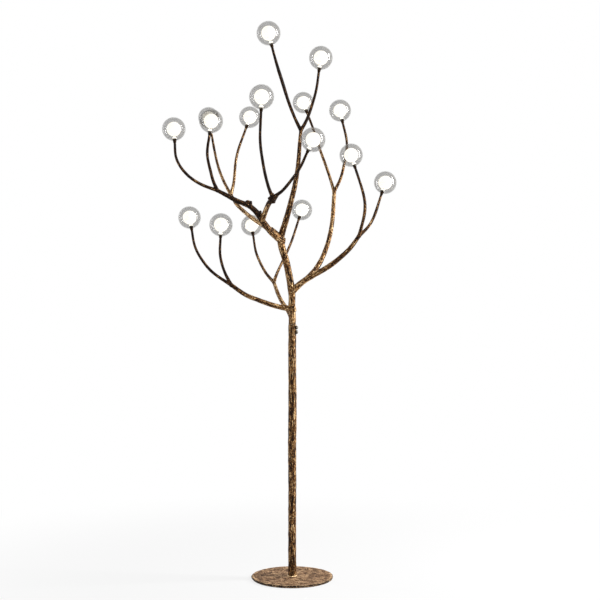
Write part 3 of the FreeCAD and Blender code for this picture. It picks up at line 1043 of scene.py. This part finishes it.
def smooth_shaded(piece: bpy.types.Object, crease_deg: float | None = None) -> None:
    """Shades the piece as curved, with sharp edges where faces meet at more than an angle.

    Args:
        piece: the piece.
        crease_deg: that angle in degrees, or None for no sharp edges.
    """
    piece.data.polygons.foreach_set("use_smooth", [True] * len(piece.data.polygons))
    if crease_deg is not None:
        piece.data.set_sharp_from_angle(angle=math.radians(crease_deg))


# ---------------------------------------------------------------- sub-assemblies


@dataclass
class BarkSkin:
    """The worked surface of one body's wood: all joined as cast, with bark relief along the grain."""

    name: str
    body: str
    lines: list[WoodLine]
    stubs: tuple[Stub, ...] = ()
    knuckles: tuple[tuple[np.ndarray, float], ...] = ()
    stands_for: tuple[str, ...] = ()
    low: float | None = None
    high: float | None = None
    grain_size: float = 1.3
    sides: int = 20
    lumps: float = 0.06
    groove_width: float = 3.4
    groove_length: float = 62.0
    line_step: float = 37.0
    wander: float = 0.5
    wander_size: float = 30.0
    fine_scale: Point = (2.6, 2.6, 5.0)
    pit_size: float = 2.4
    ridge_height: float = 0.6
    fine_height: float = 0.35
    pit_height: float = 0.3
    sink: float = 0.15
    depth_share: float = 0.085
    least_depth: float = 0.28
    most_depth: float = 1.0
    wander_seed_step: int = 5
    fine_seed_step: int = 20
    pit_seed_step: int = 40
    knuckle_detail: int = 3
    soften_share: float = 0.5
    soften_rounds: int = 4
    seed: Seed = Seed.CROWN

    def build(self) -> bpy.types.Object:
        """Makes the skin.

        Returns:
            The piece, dressed and riding on its body.
        """
        piece = self.rough_union()
        self.carve(piece)
        smooth_shaded(piece)
        BarkBrass().dress(piece)
        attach(piece, self.body)
        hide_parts(*self.stands_for)
        return piece

    def rough_union(self) -> bpy.types.Object:
        """Joins all the tubes, stubs and knuckles into one even mesh.

        Returns:
            The joined piece, still smooth.
        """
        corners: list[np.ndarray] = []
        faces: Rims = []
        count = 0
        for line in self.lines + [self.stub_line(stub) for stub in self.stubs]:
            more, rims = line.tube(self.sides, self.lumps, self.seed)
            faces += [tuple(corner + count for corner in rim) for rim in rims]
            corners.append(more)
            count += len(more)
        piece = new_piece(self.name, np.vstack(corners), faces)
        build = bmesh.new()
        build.from_mesh(piece.data)
        for centre, radius in self.knuckles:
            ball = bmesh.ops.create_icosphere(build, subdivisions=self.knuckle_detail, radius=radius * MM)
            bmesh.ops.translate(build, verts=ball["verts"], vec=Vector(centre * MM))
        build.to_mesh(piece.data)
        build.free()
        remesh = piece.modifiers.new("even", "REMESH")
        remesh.mode = "VOXEL"
        remesh.voxel_size = self.grain_size * MM
        remesh.adaptivity = 0.0
        soften = piece.modifiers.new("soften", "SMOOTH")
        soften.factor = self.soften_share
        soften.iterations = self.soften_rounds
        apply_modifiers(piece)
        return piece

    @staticmethod
    def stub_line(stub: Stub) -> WoodLine:
        """Works out a short tapering line for a broken twig or a knot.

        Args:
            stub: its ends and radii.

        Returns:
            The line.
        """
        ends = np.array([stub.foot, stub.tip], float) + (0, 0, SEAM_HEIGHT)
        share = np.linspace(0, 1, STUB_RINGS)[:, None]
        radii = np.linspace(stub.foot_radius, stub.tip_radius, STUB_RINGS)
        return WoodLine("stub", ends[0] + (ends[1] - ends[0]) * share, radii)

    def joined(self, part: str) -> np.ndarray:
        """One part of every line, end to end."""
        return np.concatenate([getattr(line, part) for line in self.lines])

    def nearest(self, places: np.ndarray) -> np.ndarray:
        """Finds the sample that is nearest to each place.

        Args:
            places: rows of x, y and z.

        Returns:
            The number of a sample for each place, counted through all the lines.
        """
        centres = self.joined("samples")
        lookup = KDTree(len(centres))
        for i, centre in enumerate(centres):
            lookup.insert(centre, i)
        lookup.balance()
        return np.array([lookup.find(place)[1] for place in places])

    def gold(self, line: np.ndarray, along: np.ndarray) -> np.ndarray:
        """Says how far the gold is rubbed through at each place, with each branch's painted light and shade
        in it.

        Args:
            line: the number of each place's line.
            along: how far along that line it is.

        Returns:
            One value for each place.
        """
        ends = np.array([RUB_AND_LIGHT[wood.name] for wood in self.lines])[line]
        share = along / np.array([wood.lengths[-1] for wood in self.lines])[line]
        first_half = ends[:, 0] + (ends[:, 1] - ends[:, 0]) * np.clip(2 * share, 0, 1)
        return first_half + (ends[:, 2] - ends[:, 1]) * np.clip(2 * share - 1, 0, 1)

    def carve(self, piece: bpy.types.Object) -> None:
        """Pushes bark relief into the surface and stores it, with the grain, for the finish.

        Args:
            piece: the smooth wood.
        """
        places = vectors_of(piece, "co") / MM
        nearest = self.nearest(places)
        line = np.repeat(np.arange(len(self.lines)), [len(wood.samples) for wood in self.lines])[nearest]
        away = places - self.joined("samples")[nearest]
        along = self.joined("lengths")[nearest] + (away * self.joined("tangents")[nearest]).sum(1)
        grain = np.stack(
            [
                (away * self.joined("across")[nearest]).sum(1) / self.groove_width,
                (away * self.joined("beside")[nearest]).sum(1) / self.groove_width,
                along / self.groove_length + line * self.line_step,
            ],
            1,
        )
        drift = layered_noise(places / self.wander_size, self.seed + self.wander_seed_step, 2)
        grain[:, 0] += drift * self.wander
        ridges = 1 - 2 * np.abs(layered_noise(grain, self.seed, 3))
        fine = layered_noise(grain * self.fine_scale, self.seed + self.fine_seed_step, 2)
        pits = layered_noise(places / self.pit_size, self.seed + self.pit_seed_step, 2)
        lift = self.ridge_height * ridges + self.fine_height * fine + self.pit_height * pits - self.sink
        depth = self.joined("radii")[nearest] * self.depth_share
        depth = np.clip(depth, self.least_depth, self.most_depth)
        places = places + vectors_of(piece, "normal") * (lift * depth)[:, None]
        if self.low is not None:
            places[:, 2] = np.maximum(places[:, 2], self.low)
        if self.high is not None:
            places[:, 2] = np.minimum(places[:, 2], self.high)
        move_corners(piece, places * MM)
        store(piece, "relief", np.clip(lift * 0.5 + 0.5, 0, 1))
        # the rub, with each branch's painted light and shade
        store(piece, "rubbed", self.gold(line, along))
        store(piece, "grain", grain)


@dataclass
class Wood:
    """All the wood of the lamp: the trunk below the seam and the crown above it."""

    pitch: float = 2.5
    flare: float = 0.16
    flare_length: float = 26.0
    knuckle_swell: float = 0.9
    gnarl_swell: float = 3.0
    crotch_radius: float = 14.2
    foot_sink: float = 0.6
    foot_trim: float = 0.4
    lines: dict[str, WoodLine] = field(default_factory=dict)

    def heads(self) -> list[tuple[np.ndarray, np.ndarray]]:
        """Works out where the globes are.

        Returns:
            The centre and the axis of the globe on each twig.
        """
        ends = []
        for _, points in TWIGS.values():
            reach = np.array(points[-1], float) - np.array(points[-2], float)
            ends.append((np.array(points[-1], float) + (0, 0, SEAM_HEIGHT), reach / np.linalg.norm(reach)))
        return ends

    def grow(self) -> None:
        """Works out the line of every branch, parents first."""
        route = [(0, 0, SEAM_GAP)] + list(STEM)
        self.lines["crown_stem"] = self.line("crown_stem", route, STEM_RADII, 0.0, start=(0, 0, 1))
        for name, limb in LIMBS.items():
            root = self.lines[limb.parent].at(limb.root_at) - (0, 0, SEAM_HEIGHT)
            self.lines[name] = self.line(name, [tuple(root), *limb.points], limb.radii, self.flare)
        for name, (limb, points) in TWIGS.items():
            root = self.lines[limb].at(None) - (0, 0, SEAM_HEIGHT)
            centre = np.array(points[-1], float)
            reach = centre - np.array(points[-2], float)
            end = centre - reach / np.linalg.norm(reach) * COLLAR_MOUTH_DEPTH
            route = [tuple(root), *points[:-1], tuple(end)]
            self.lines[name] = self.line(name, route, TWIG_RADII, self.flare, end=tuple(reach))

    def line(
        self,
        name: str,
        route: list[Point],
        radii: tuple[float, float],
        flare: float,
        start: Point | None = None,
        end: Point | None = None,
    ) -> WoodLine:
        """One branch's line.

        Args:
            name: the branch's name.
            route: its points, with heights above the seam.
            radii: its radius at the root and at the fork.
            flare: how much wider it is where it leaves its parent.
            start: its direction at the root, if not the first step's.
            end: its direction at the end, if not the last step's.

        Returns:
            The line.
        """
        points = np.array(route, float) + (0, 0, SEAM_HEIGHT)
        first = points[1] - points[0] if start is None else np.array(start, float)
        last = points[-1] - points[-2] if end is None else np.array(end, float)
        samples = smooth_line(points, first, last, self.pitch)
        share = np.linspace(0, 1, len(samples))
        length = np.linalg.norm(np.diff(samples, axis=0), axis=1).sum()
        wide = flare * radii[0] * np.exp(-((share * length / self.flare_length) ** 2))
        return WoodLine(name, samples, radii[0] + (radii[1] - radii[0]) * share + wide)

    def crown(self) -> bpy.types.Object:
        """Makes the crown's skin, in one piece from the seam to the collars.

        Returns:
            The piece.
        """
        knuckles = [(self.lines["crown_stem"].at(None), self.crotch_radius)]
        for name in LIMBS:
            line = self.lines[name]
            swell = self.gnarl_swell if name == "limb_g" else self.knuckle_swell
            knuckles.append((line.at(None), line.radii[-1] + swell))
        skin = BarkSkin(
            name="crown_wood",
            body="crown",
            lines=list(self.lines.values()),
            stubs=STUBS,
            knuckles=tuple(knuckles),
            stands_for=tuple(self.lines),
            low=SEAM_HEIGHT + SEAM_GAP,
        )
        return skin.build()

    def trunk(self) -> bpy.types.Object:
        """Makes the trunk's skin, from the foot to the seam.

        Returns:
            The piece.
        """
        heights = np.arange(0, SEAM_HEIGHT - PLATE_TOP + 1.0, self.pitch)
        radii = np.interp(heights, *zip(*TRUNK_RADII))
        drift = np.interp(heights, *zip(*TRUNK_DRIFT))
        samples = np.stack([drift, np.zeros_like(heights), heights + PLATE_TOP - self.foot_sink], 1)
        skin = BarkSkin(
            name="trunk_wood",
            body="root",
            lines=[WoodLine("trunk", samples, radii)],
            stands_for=("trunk_bark",),
            low=PLATE_TOP - self.foot_trim,
            high=SEAM_HEIGHT,
            sides=28,
            lumps=0.05,
            seed=Seed.TRUNK,
        )
        return skin.build()


@dataclass
class FootDisc:
    """The lamp's disc foot: hammered top, torn rim, and hollows below for its fixing and its grommet."""

    radius: float = 143.9
    hole: float = 5.25
    recess: float = 16.0
    recess_top: float = 7.0
    underside: float = 1.5
    channel_width: float = 7.0
    channel_depth: float = 6.0
    channel_start: float = 10.0
    channel_end: float = 150.0
    cut_margin: float = 1.0
    turns: int = 540
    rim_waves: float = 3.0
    rim_wander: float = 2.6
    chip_fineness: float = 5.0
    chip_depth: float = 2.0
    chip_share: float = 0.15
    tear_size: float = 3.2
    tear_depth: float = 2.6
    tear_stretch: float = 0.9
    dent_size: float = 9.0
    dent_depth: float = 0.34
    dented_band: float = 0.6
    bead_inside: float = 12.0
    bead_radius: float = 17.6
    bead_height: float = 2.6
    bead_sides: int = 96
    bead_lump_size: float = 3.0
    bead_lumps: float = 1.1
    bead_relief: float = 0.8
    bead_gold_and_glint: float = 1.5

    def build(self) -> bpy.types.Object:
        """Makes the disc.

        Returns:
            The piece, riding on the root body in place of the plain plate.
        """
        piece = self.turned()
        self.cut_channel(piece)
        smooth_shaded(piece, crease_deg=38)
        PlateIron().dress(piece)
        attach(piece, "root")
        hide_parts("base_plate")
        return piece

    def bead(self) -> bpy.types.Object:
        """Makes the bright ragged bead of brazing that joins the trunk's foot to the disc; its brightness
        is partly the brazing's own and partly a painted glint.

        Returns:
            The piece, riding on the root body.
        """
        low, inside, outside = PLATE_TOP - 0.5, self.bead_inside, self.bead_radius
        section = [(inside, low), (outside, low), (outside - 0.5, low + 1.0), (outside - 1.6, low + 2.0)]
        section += [(inside + 2.0, low + self.bead_height), (inside, low + self.bead_height)]
        corners, faces = turned_rings(section, self.bead_sides)
        lumps = layered_noise(corners / self.bead_lump_size, Seed.BEAD, 2)
        away = corners * (1, 1, 0) / np.linalg.norm(corners[:, :2], axis=1)[:, None]
        corners = corners + away * (lumps * self.bead_lumps)[:, None]
        corners[:, 2] = np.maximum(low, corners[:, 2] + lumps * 0.5)
        piece = new_piece("braze_bead", corners, faces)
        smooth_shaded(piece)
        # bead_relief and the rub lift the bead above the brightest wood: bright brazing with a painted
        # glint
        store(piece, "relief", lumps * 0.5 + self.bead_relief)
        store(piece, "rubbed", np.full(len(corners), self.bead_gold_and_glint))
        store(piece, "grain", corners / self.bead_lump_size)
        BarkBrass().dress(piece)
        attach(piece, "root")
        return piece

    def profile(self) -> list[tuple[float, float, float]]:
        """Draws the section from the hole's top, out over the rim and back below.

        Returns:
            Radius, height and how much of the rim's wander it takes, for each point.
        """
        top, low = PLATE_TOP, self.underside
        section = [(self.hole, top, 0.0)]
        section += [(radius, top, 0.0) for radius in range(8, 138, 2)]
        section += [(138.5, top, 0.15), (140.0, top - 0.05, 0.45), (141.6, top - 0.15, 0.8)]
        section += [(142.8, top - 0.5, 1.0), (143.5, top - 1.3, 1.0), (self.radius, top - 2.6, 1.0)]
        section += [(143.8, top - 3.9, 1.0), (143.4, top - 5.2, 1.0), (142.8, top - 6.5, 1.0)]
        section += [(141.8, top - 7.6, 1.0), (140.4, 1.7, 0.8), (138.8, low, 0.3)]
        section += [(136.0, low, 0.0), (60.0, low, 0.0), (self.recess, low, 0.0)]
        return section + [(self.recess, self.recess_top, 0.0), (self.hole, self.recess_top, 0.0)]

    def turned(self) -> bpy.types.Object:
        """Turns the section round, with its hammering and its uneven rim.

        Returns:
            The disc, without its channel.
        """
        angles = np.linspace(0, 2 * math.pi, self.turns, endpoint=False)
        circle = np.stack([np.cos(angles), np.sin(angles)], 1)
        flat = np.column_stack([circle * self.rim_waves, np.zeros(self.turns)])
        chips = layered_noise(flat * self.chip_fineness, Seed.CHIPS, 3) + self.chip_share
        wander = self.rim_wander * (0.5 + 0.5 * layered_noise(flat, Seed.RIM, 2))
        wander = wander + np.clip(chips, 0, 1) * self.chip_depth
        rings = []
        for radius, height, share in self.profile():
            level = np.full(self.turns, height * self.tear_stretch)
            tear = np.column_stack([circle * radius / self.tear_size, level])
            torn = self.tear_depth * np.abs(layered_noise(tear, Seed.TEARS, 2))
            reach = radius - share * (wander + torn)
            ring = np.column_stack([circle * reach[:, None], np.full(self.turns, height)])
            if height > PLATE_TOP - self.dented_band:
                dents = layered_noise(ring / self.dent_size, Seed.DENTS, 3)
                ring[:, 2] -= self.dent_depth + self.dent_depth * dents
            rings.append(ring)
        faces = []
        for i in range(len(rings)):
            here, after = i * self.turns, (i + 1) % len(rings) * self.turns
            for j in range(self.turns):
                k = (j + 1) % self.turns
                faces.append((here + j, after + j, after + k, here + k))
        return new_piece("foot_disc", np.vstack(rings), faces)

    def cut_channel(self, piece: bpy.types.Object) -> None:
        """Cuts the channel in the underside that leads the grommet's lead to the middle.

        Args:
            piece: the disc.
        """
        length = self.channel_end - self.channel_start
        height = self.channel_depth + self.cut_margin
        middle = (self.channel_end + self.channel_start) / 2
        level = self.underside + (self.channel_depth - self.cut_margin) / 2
        cutter = bmesh.new()
        bmesh.ops.create_cube(cutter, size=1.0)
        size = (self.channel_width * MM, length * MM, height * MM)
        bmesh.ops.scale(cutter, vec=size, verts=cutter.verts)
        bmesh.ops.translate(cutter, vec=(0, middle * MM, level * MM), verts=cutter.verts)
        mesh = bpy.data.meshes.new("channel")
        cutter.to_mesh(mesh)
        cutter.free()
        tool = bpy.data.objects.new("channel", mesh)
        bpy.context.scene.collection.objects.link(tool)
        cut = piece.modifiers.new("channel", "BOOLEAN")
        cut.operation = "DIFFERENCE"
        cut.solver = "EXACT"
        cut.object = tool
        apply_modifiers(piece)
        bpy.data.objects.remove(tool)


@dataclass
class LockScrews:
    """The two screw heads that stand out of the trunk below the seam, each with a hexagon socket.

    A head's sizes are in millimetres from the trunk's axis outwards.
    """

    direction_deg: float = -20.0
    drops: tuple[float, float] = (11.0, 27.0)
    foot: float = 12.5
    face: float = 20.2
    radius: float = 5.2
    bevel: float = 0.3
    core: float = 0.2
    seat_face: float = 18.6
    seat_radius: float = 6.6
    seat_bevel: float = 0.4
    play: float = 0.1
    socket: float = 2.4
    socket_depth: float = 2.6
    sides: int = 48

    def build(self) -> list[bpy.types.Object]:
        """Makes the heads and the dark rings that they sit in.

        Returns:
            The pieces, riding on the root body in place of the plain screws.
        """
        heads = self.piece("screw_heads", *self.hexagonal(*turned_rings(self.head(), self.sides)))
        TurnedMetal(Metal.SCREW_STEEL).dress(heads)
        seats = self.piece("screw_seats", *turned_rings(self.seat(), self.sides))
        TurnedMetal(Metal.COLLAR_BRASS).dress(seats)
        return [heads, seats]

    def head(self) -> Section:
        """Draws a head's section, with its socket.

        Returns:
            Radius and distance from the trunk's axis of each point.
        """
        edge, face, bevel = self.radius, self.face, self.bevel
        floor = face - self.socket_depth
        section = [(self.core, self.foot), (edge - bevel, self.foot), (edge, self.foot + bevel)]
        section += [(edge, face - 0.7), (edge - bevel, face - 0.25), (edge - 3 * bevel, face)]
        section += [(self.socket + bevel, face), (self.socket, face - bevel), (self.socket, floor)]
        return section + [(self.core, floor - 0.5)]

    def seat(self) -> Section:
        """Draws the section of the ring round a head.

        Returns:
            Radius and distance from the trunk's axis of each point.
        """
        outside, inside, face = self.seat_radius, self.radius + self.play, self.seat_face
        section = [(inside, self.foot), (outside, self.foot), (outside, face - self.seat_bevel)]
        return section + [(outside - self.seat_bevel, face), (inside, face)]

    def hexagonal(self, shape: np.ndarray, rims: Rims) -> tuple[np.ndarray, Rims]:
        """Makes a head's round socket six-sided.

        Args:
            shape: the head's corners about its own axis.
            rims: its faces.

        Returns:
            The changed corners and the same faces.
        """
        half_side = math.radians(30)
        inside = np.hypot(shape[:, 0], shape[:, 1]) < self.socket + self.play
        inside &= shape[:, 2] > self.face - self.socket_depth - self.play
        turn = np.mod(np.arctan2(shape[:, 1], shape[:, 0]), 2 * half_side) - half_side
        shape[inside, :2] *= (math.cos(half_side) / np.cos(turn[inside]))[:, None]
        return shape, rims

    def piece(self, name: str, shape: np.ndarray, rims: Rims) -> bpy.types.Object:
        """Makes one kind of piece at both screws.

        Args:
            name: the piece's name.
            shape: its corners about the screw's axis.
            rims: its faces.

        Returns:
            The piece.
        """
        angle = math.radians(self.direction_deg)
        outward = np.array([math.cos(angle), math.sin(angle), 0.0])
        axes = np.array([[-outward[1], outward[0], 0.0], [0.0, 0.0, 1.0], outward])
        corners = np.vstack([shape @ axes + (0, 0, SEAM_HEIGHT - drop) for drop in self.drops])
        faces = rims + [tuple(corner + len(shape) for corner in rim) for rim in rims]
        made = new_piece(name, corners, faces)
        smooth_shaded(made, crease_deg=35)
        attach(made, "root")
        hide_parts("lock_screws")
        return made


@dataclass
class LampHeads:
    """What each clear globe holds: a frosted ball, the glass neck below it and the turned cap on the twig.

    The sizes are in millimetres about the globe's centre, with the twig coming from below.
    """

    ends: list[tuple[np.ndarray, np.ndarray]]
    ball_radius: float = 24.0
    ball_wall: float = 1.4
    ball_mouth: float = 4.4
    ball_steps: int = 28
    pole_gap: float = 0.02
    neck_mouth: float = 9.3
    globe_radius: float = 40.0
    neck_wall: float = 0.8
    cap_top: float = -32.5
    cap_radius: float = 7.5
    cap_waist: float = 6.4
    cap_foot: float = 4.9
    cap_bore: float = 3.4
    sides: int = 40

    def ball(self) -> Section:
        """Draws the frosted ball, open round the lamp holder.

        Returns:
            Radius and height of each point.
        """
        section = []
        for radius, way in ((self.ball_radius, 1), (self.ball_radius - self.ball_wall, -1)):
            lowest = -math.acos(self.ball_mouth / radius)
            sweep = math.pi / 2 - self.pole_gap - lowest
            arc = [lowest + sweep * i / self.ball_steps for i in range(self.ball_steps + 1)][::way]
            section += [(radius * math.cos(angle), radius * math.sin(angle)) for angle in arc]
        return section

    def neck(self) -> Section:
        """Draws the clear neck, from the globe's mouth in to the skirt.

        Returns:
            Radius and height of each point.
        """
        foot = -math.sqrt(self.globe_radius**2 - self.neck_mouth**2)
        outside = [(self.neck_mouth, foot), (8.6, -36.6), (8.2, -34.4), (7.9, -32.2)]
        return outside + [(radius - self.neck_wall, height) for radius, height in outside[::-1]]

    def skirt(self) -> Section:
        """The section of the frosted skirt, which spreads from the holder to the cap's disc."""
        underside = [(3.6, -27.0), (6.0, -32.3), (7.6, -32.3)]
        return underside + [(7.5, -31.5), (6.4, -29.4), (5.1, -27.2), (4.2, -25.4), (3.6, -25.2)]

    def cap(self) -> Section:
        """Draws the cap: a beaded disc, a waist and a cup that tapers to the twig.

        Returns:
            Radius and height of each point.
        """
        top, mouth, foot = self.cap_top, -COLLAR_MOUTH_DEPTH - 0.2, self.cap_foot
        lip = [(foot - 0.6, mouth), (foot, mouth + 0.4), (foot + 0.35, mouth + 1.8)]
        cup = lip + [(5.5, -43.0), (5.9, -40.2)]
        waist = [(self.cap_waist, -37.2), (6.3, -35.8), (5.9, -35.2), (6.2, -34.7), (7.1, -34.4)]
        disc = [(self.cap_radius, -33.8), (self.cap_radius, top - 0.5), (7.0, top), (self.cap_bore, top)]
        return cup + waist + disc + [(self.cap_bore, top - 2.0), (self.cap_bore - 0.1, mouth)]

    def piece(
        self,
        name: str,
        section: Section,
        finish: Finish,
        slot: str,
        stands_for: str,
    ) -> bpy.types.Object:
        """Makes one kind of piece in every head.

        Args:
            name: the piece's name.
            section: the closed section that is turned round the head's axis.
            finish: what it is made of.
            slot: the record's material slot; not used.
            stands_for: the node that it replaces.

        Returns:
            The piece, riding on the crown body.
        """
        shape, rims = turned_rings(section, self.sides)
        corners, faces = [], []
        for count, (centre, direction) in enumerate(self.ends):
            turn = np.array(Vector(direction).to_track_quat("Z", "Y").to_matrix())
            corners.append(shape @ turn.T + centre)
            faces += [tuple(corner + count * len(shape) for corner in rim) for rim in rims]
        made = new_piece(name, np.vstack(corners), faces)
        smooth_shaded(made, crease_deg=45)
        finish.dress(made)
        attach(made, "crown")
        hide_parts(stands_for)
        return made

    def build(self) -> list[bpy.types.Object]:
        """Makes the balls, the skirts, the necks and the caps.

        Returns:
            The pieces.
        """
        frosted, capped = FrostedGlow(), TurnedMetal(Metal.COLLAR_BRASS)
        neck_glass = ClearGlass(name="neck_glass", thinnest=0.03, slanted=0.08)
        return [
            self.piece("frosted_balls", self.ball(), frosted, "frosted_glass", "inner_diffusers"),
            self.piece("frosted_skirts", self.skirt(), frosted, "frosted_glass", "inner_diffusers"),
            self.piece("glass_necks", self.neck(), neck_glass, "clear_glass", "inner_diffusers"),
            self.piece("twig_caps", self.cap(), capped, "collar_brass", "lamp_collars"),
        ]


@dataclass
class CarriedParts:
    """The precise parts that keep their own shape and get their finish."""

    nodes: dict[str, bpy.types.Object]

    def finish_for(self, name: str) -> Finish:
        """Looks up the finish of a node.

        Args:
            name: the node's name.

        Returns:
            Its finish.
        """
        if name.startswith("outer_globe"):
            return ClearGlass()
        by_name = {
            "lamp_holders": Moulded(Stuff.CERAMIC),
            "lamp_capsules": Moulded(Stuff.LENS),
            "trunk_bush": TurnedMetal(Metal.BUSH_BRASS),
            "crown_spigot": TurnedMetal(Metal.BUSH_BRASS),
            "base_pad": Moulded(Stuff.FELT),
            "cord_grommet": Moulded(Stuff.RUBBER),
            "foot_plug": Moulded(Stuff.NYLON),
            "lead_connectors": Moulded(Stuff.NYLON),
            "trunk_cable": Moulded(Stuff.JACKET),
            "crown_leads": Moulded(Stuff.JACKET),
            "base_plate": PlateIron(),
        }
        return by_name.get(name, TurnedMetal(Metal.FIXING_STEEL))

    def dress(self) -> None:
        """Gives every carried node its finish."""
        for name, node in self.nodes.items():
            self.finish_for(name).dress(node)
            log.info("carried %s", name)


@dataclass(frozen=True)
class Softbox:
    """A large soft lamp: where it hangs, what it points at, its size in metres and its power in watts."""

    name: str
    spot: Point
    target: Point
    size: tuple[float, float]
    watts: float


SOFTBOXES = (
    Softbox("right_lamp", (2.8, 0.0, 2.0), (0.1, 0.0, 1.0), (0.8, 2.6), 140.0),
    Softbox("left_lamp", (-2.7, 1.3, 1.8), (-0.1, 0.0, 1.1), (0.6, 2.2), 16.0),
    Softbox("top_lamp", (0.5, -2.2, 3.4), (0.0, 0.0, 0.8), (1.6, 1.6), 20.0),
)


@dataclass
class Studio:
    """A pale floor, a white surround, soft lamps and the camera. Its sizes are in metres."""

    eye: Point = (0.027, -3.95, 0.972)
    lens: float = 67.86
    sensor: float = 36.0
    floor_size: float = 30.0
    floor_grey: float = 0.9
    glow_near: float = 0.8
    glow_far: float = 0.2
    fade_start: float = 0.5
    fade_end: float = 1.8
    ambient: float = 0.17
    backdrop: float = 0.83

    def build(self) -> None:
        """Makes everything that isn't the lamp."""
        self.floor()
        self.surround()
        for softbox in SOFTBOXES:
            self.hang(softbox)
        self.camera()

    def seen(self, tree: Tree) -> Socket:
        """Tells the camera's rays from the light's.

        Args:
            tree: the tree that asks.

        Returns:
            1 for what the camera sees, straight or through glass or in a gloss, and 0 for the rest.
        """
        rays = tree.add("ShaderNodeLightPath", {}, {}, "Is Camera Ray")
        gloss = tree.add("ShaderNodeLightPath", {}, {}, "Is Glossy Ray")
        through = tree.add("ShaderNodeLightPath", {}, {}, "Is Transmission Ray")
        return (rays + gloss + through).clamp()

    def floor(self) -> None:
        """Lays the floor, which keeps the lamp's shadow."""
        mesh = bpy.data.meshes.new("floor")
        half = self.floor_size / 2
        square = [(-half, -half, 0), (half, -half, 0), (half, half, 0), (-half, half, 0)]
        mesh.from_pydata(square, [], [(0, 1, 2, 3)])
        floor = bpy.data.objects.new("floor", mesh)
        bpy.context.scene.collection.objects.link(floor)
        made = bpy.data.materials.new("pale_floor")
        tree = Tree(made)
        grey = (self.floor_grey, self.floor_grey, self.floor_grey, 1.0)
        matte = tree.add("ShaderNodeBsdfDiffuse", {}, {"Color": grey})
        white = tree.add("ShaderNodeEmission", {}, {"Color": (1.0, 1.0, 1.0, 1.0), "Strength": 1.0})
        out = tree.length(tree.place())
        fade = self.glow_near + out.band(self.fade_start, self.fade_end) * self.glow_far
        share = self.seen(tree) * fade
        tree.surface(tree.add("ShaderNodeMixShader", {}, {0: share, 1: matte, 2: white}))
        mesh.materials.append(made)

    def surround(self) -> None:
        """Makes the world: white where it is seen, and a soft grey where it lights."""
        world = bpy.data.worlds.new("surround")
        bpy.context.scene.world = world
        tree = Tree(world)
        strength = self.ambient + self.seen(tree) * self.backdrop
        inputs = {"Color": (1.0, 1.0, 1.0, 1.0), "Strength": strength}
        light = tree.add("ShaderNodeBackground", {}, inputs)
        tree.add("ShaderNodeOutputWorld", {}, {"Surface": light})

    def hang(self, softbox: Softbox) -> None:
        """Hangs one large soft lamp.

        Args:
            softbox: its place, aim, size and power.
        """
        data = bpy.data.lights.new(softbox.name, "AREA")
        data.shape = "RECTANGLE"
        data.size, data.size_y = softbox.size
        data.energy = softbox.watts
        lamp = bpy.data.objects.new(softbox.name, data)
        bpy.context.scene.collection.objects.link(lamp)
        lamp.location = softbox.spot
        aim = Vector(softbox.target) - Vector(softbox.spot)
        lamp.rotation_euler = aim.to_track_quat("-Z", "Y").to_euler()

    def camera(self) -> None:
        """Sets the camera, level and square to the lamp."""
        data = bpy.data.cameras.new("camera")
        data.lens = self.lens
        data.sensor_width = self.sensor
        camera = bpy.data.objects.new("camera", data)
        bpy.context.scene.collection.objects.link(camera)
        camera.location = self.eye
        camera.rotation_euler = (math.radians(90), 0, 0)
        bpy.context.scene.camera = camera


def main() -> None:
    """Builds the lamp's pieces in order, dresses them and lights them."""
    logging.basicConfig(level=logging.INFO, format="%(message)s")
    bpy.context.scene.view_settings.view_transform = "Standard"
    CarriedParts(frame["nodes"]).dress()
    wood = Wood()
    wood.grow()
    foot = FootDisc()
    pieces = [wood.trunk(), wood.crown(), foot.build(), foot.bead()]
    pieces += LockScrews().build()
    pieces += LampHeads(wood.heads()).build()
    for piece in pieces:
        log.info("piece %s: %d faces", piece.name, len(piece.data.polygons))
    Studio().build()


if __name__ == "__main__":
    main()
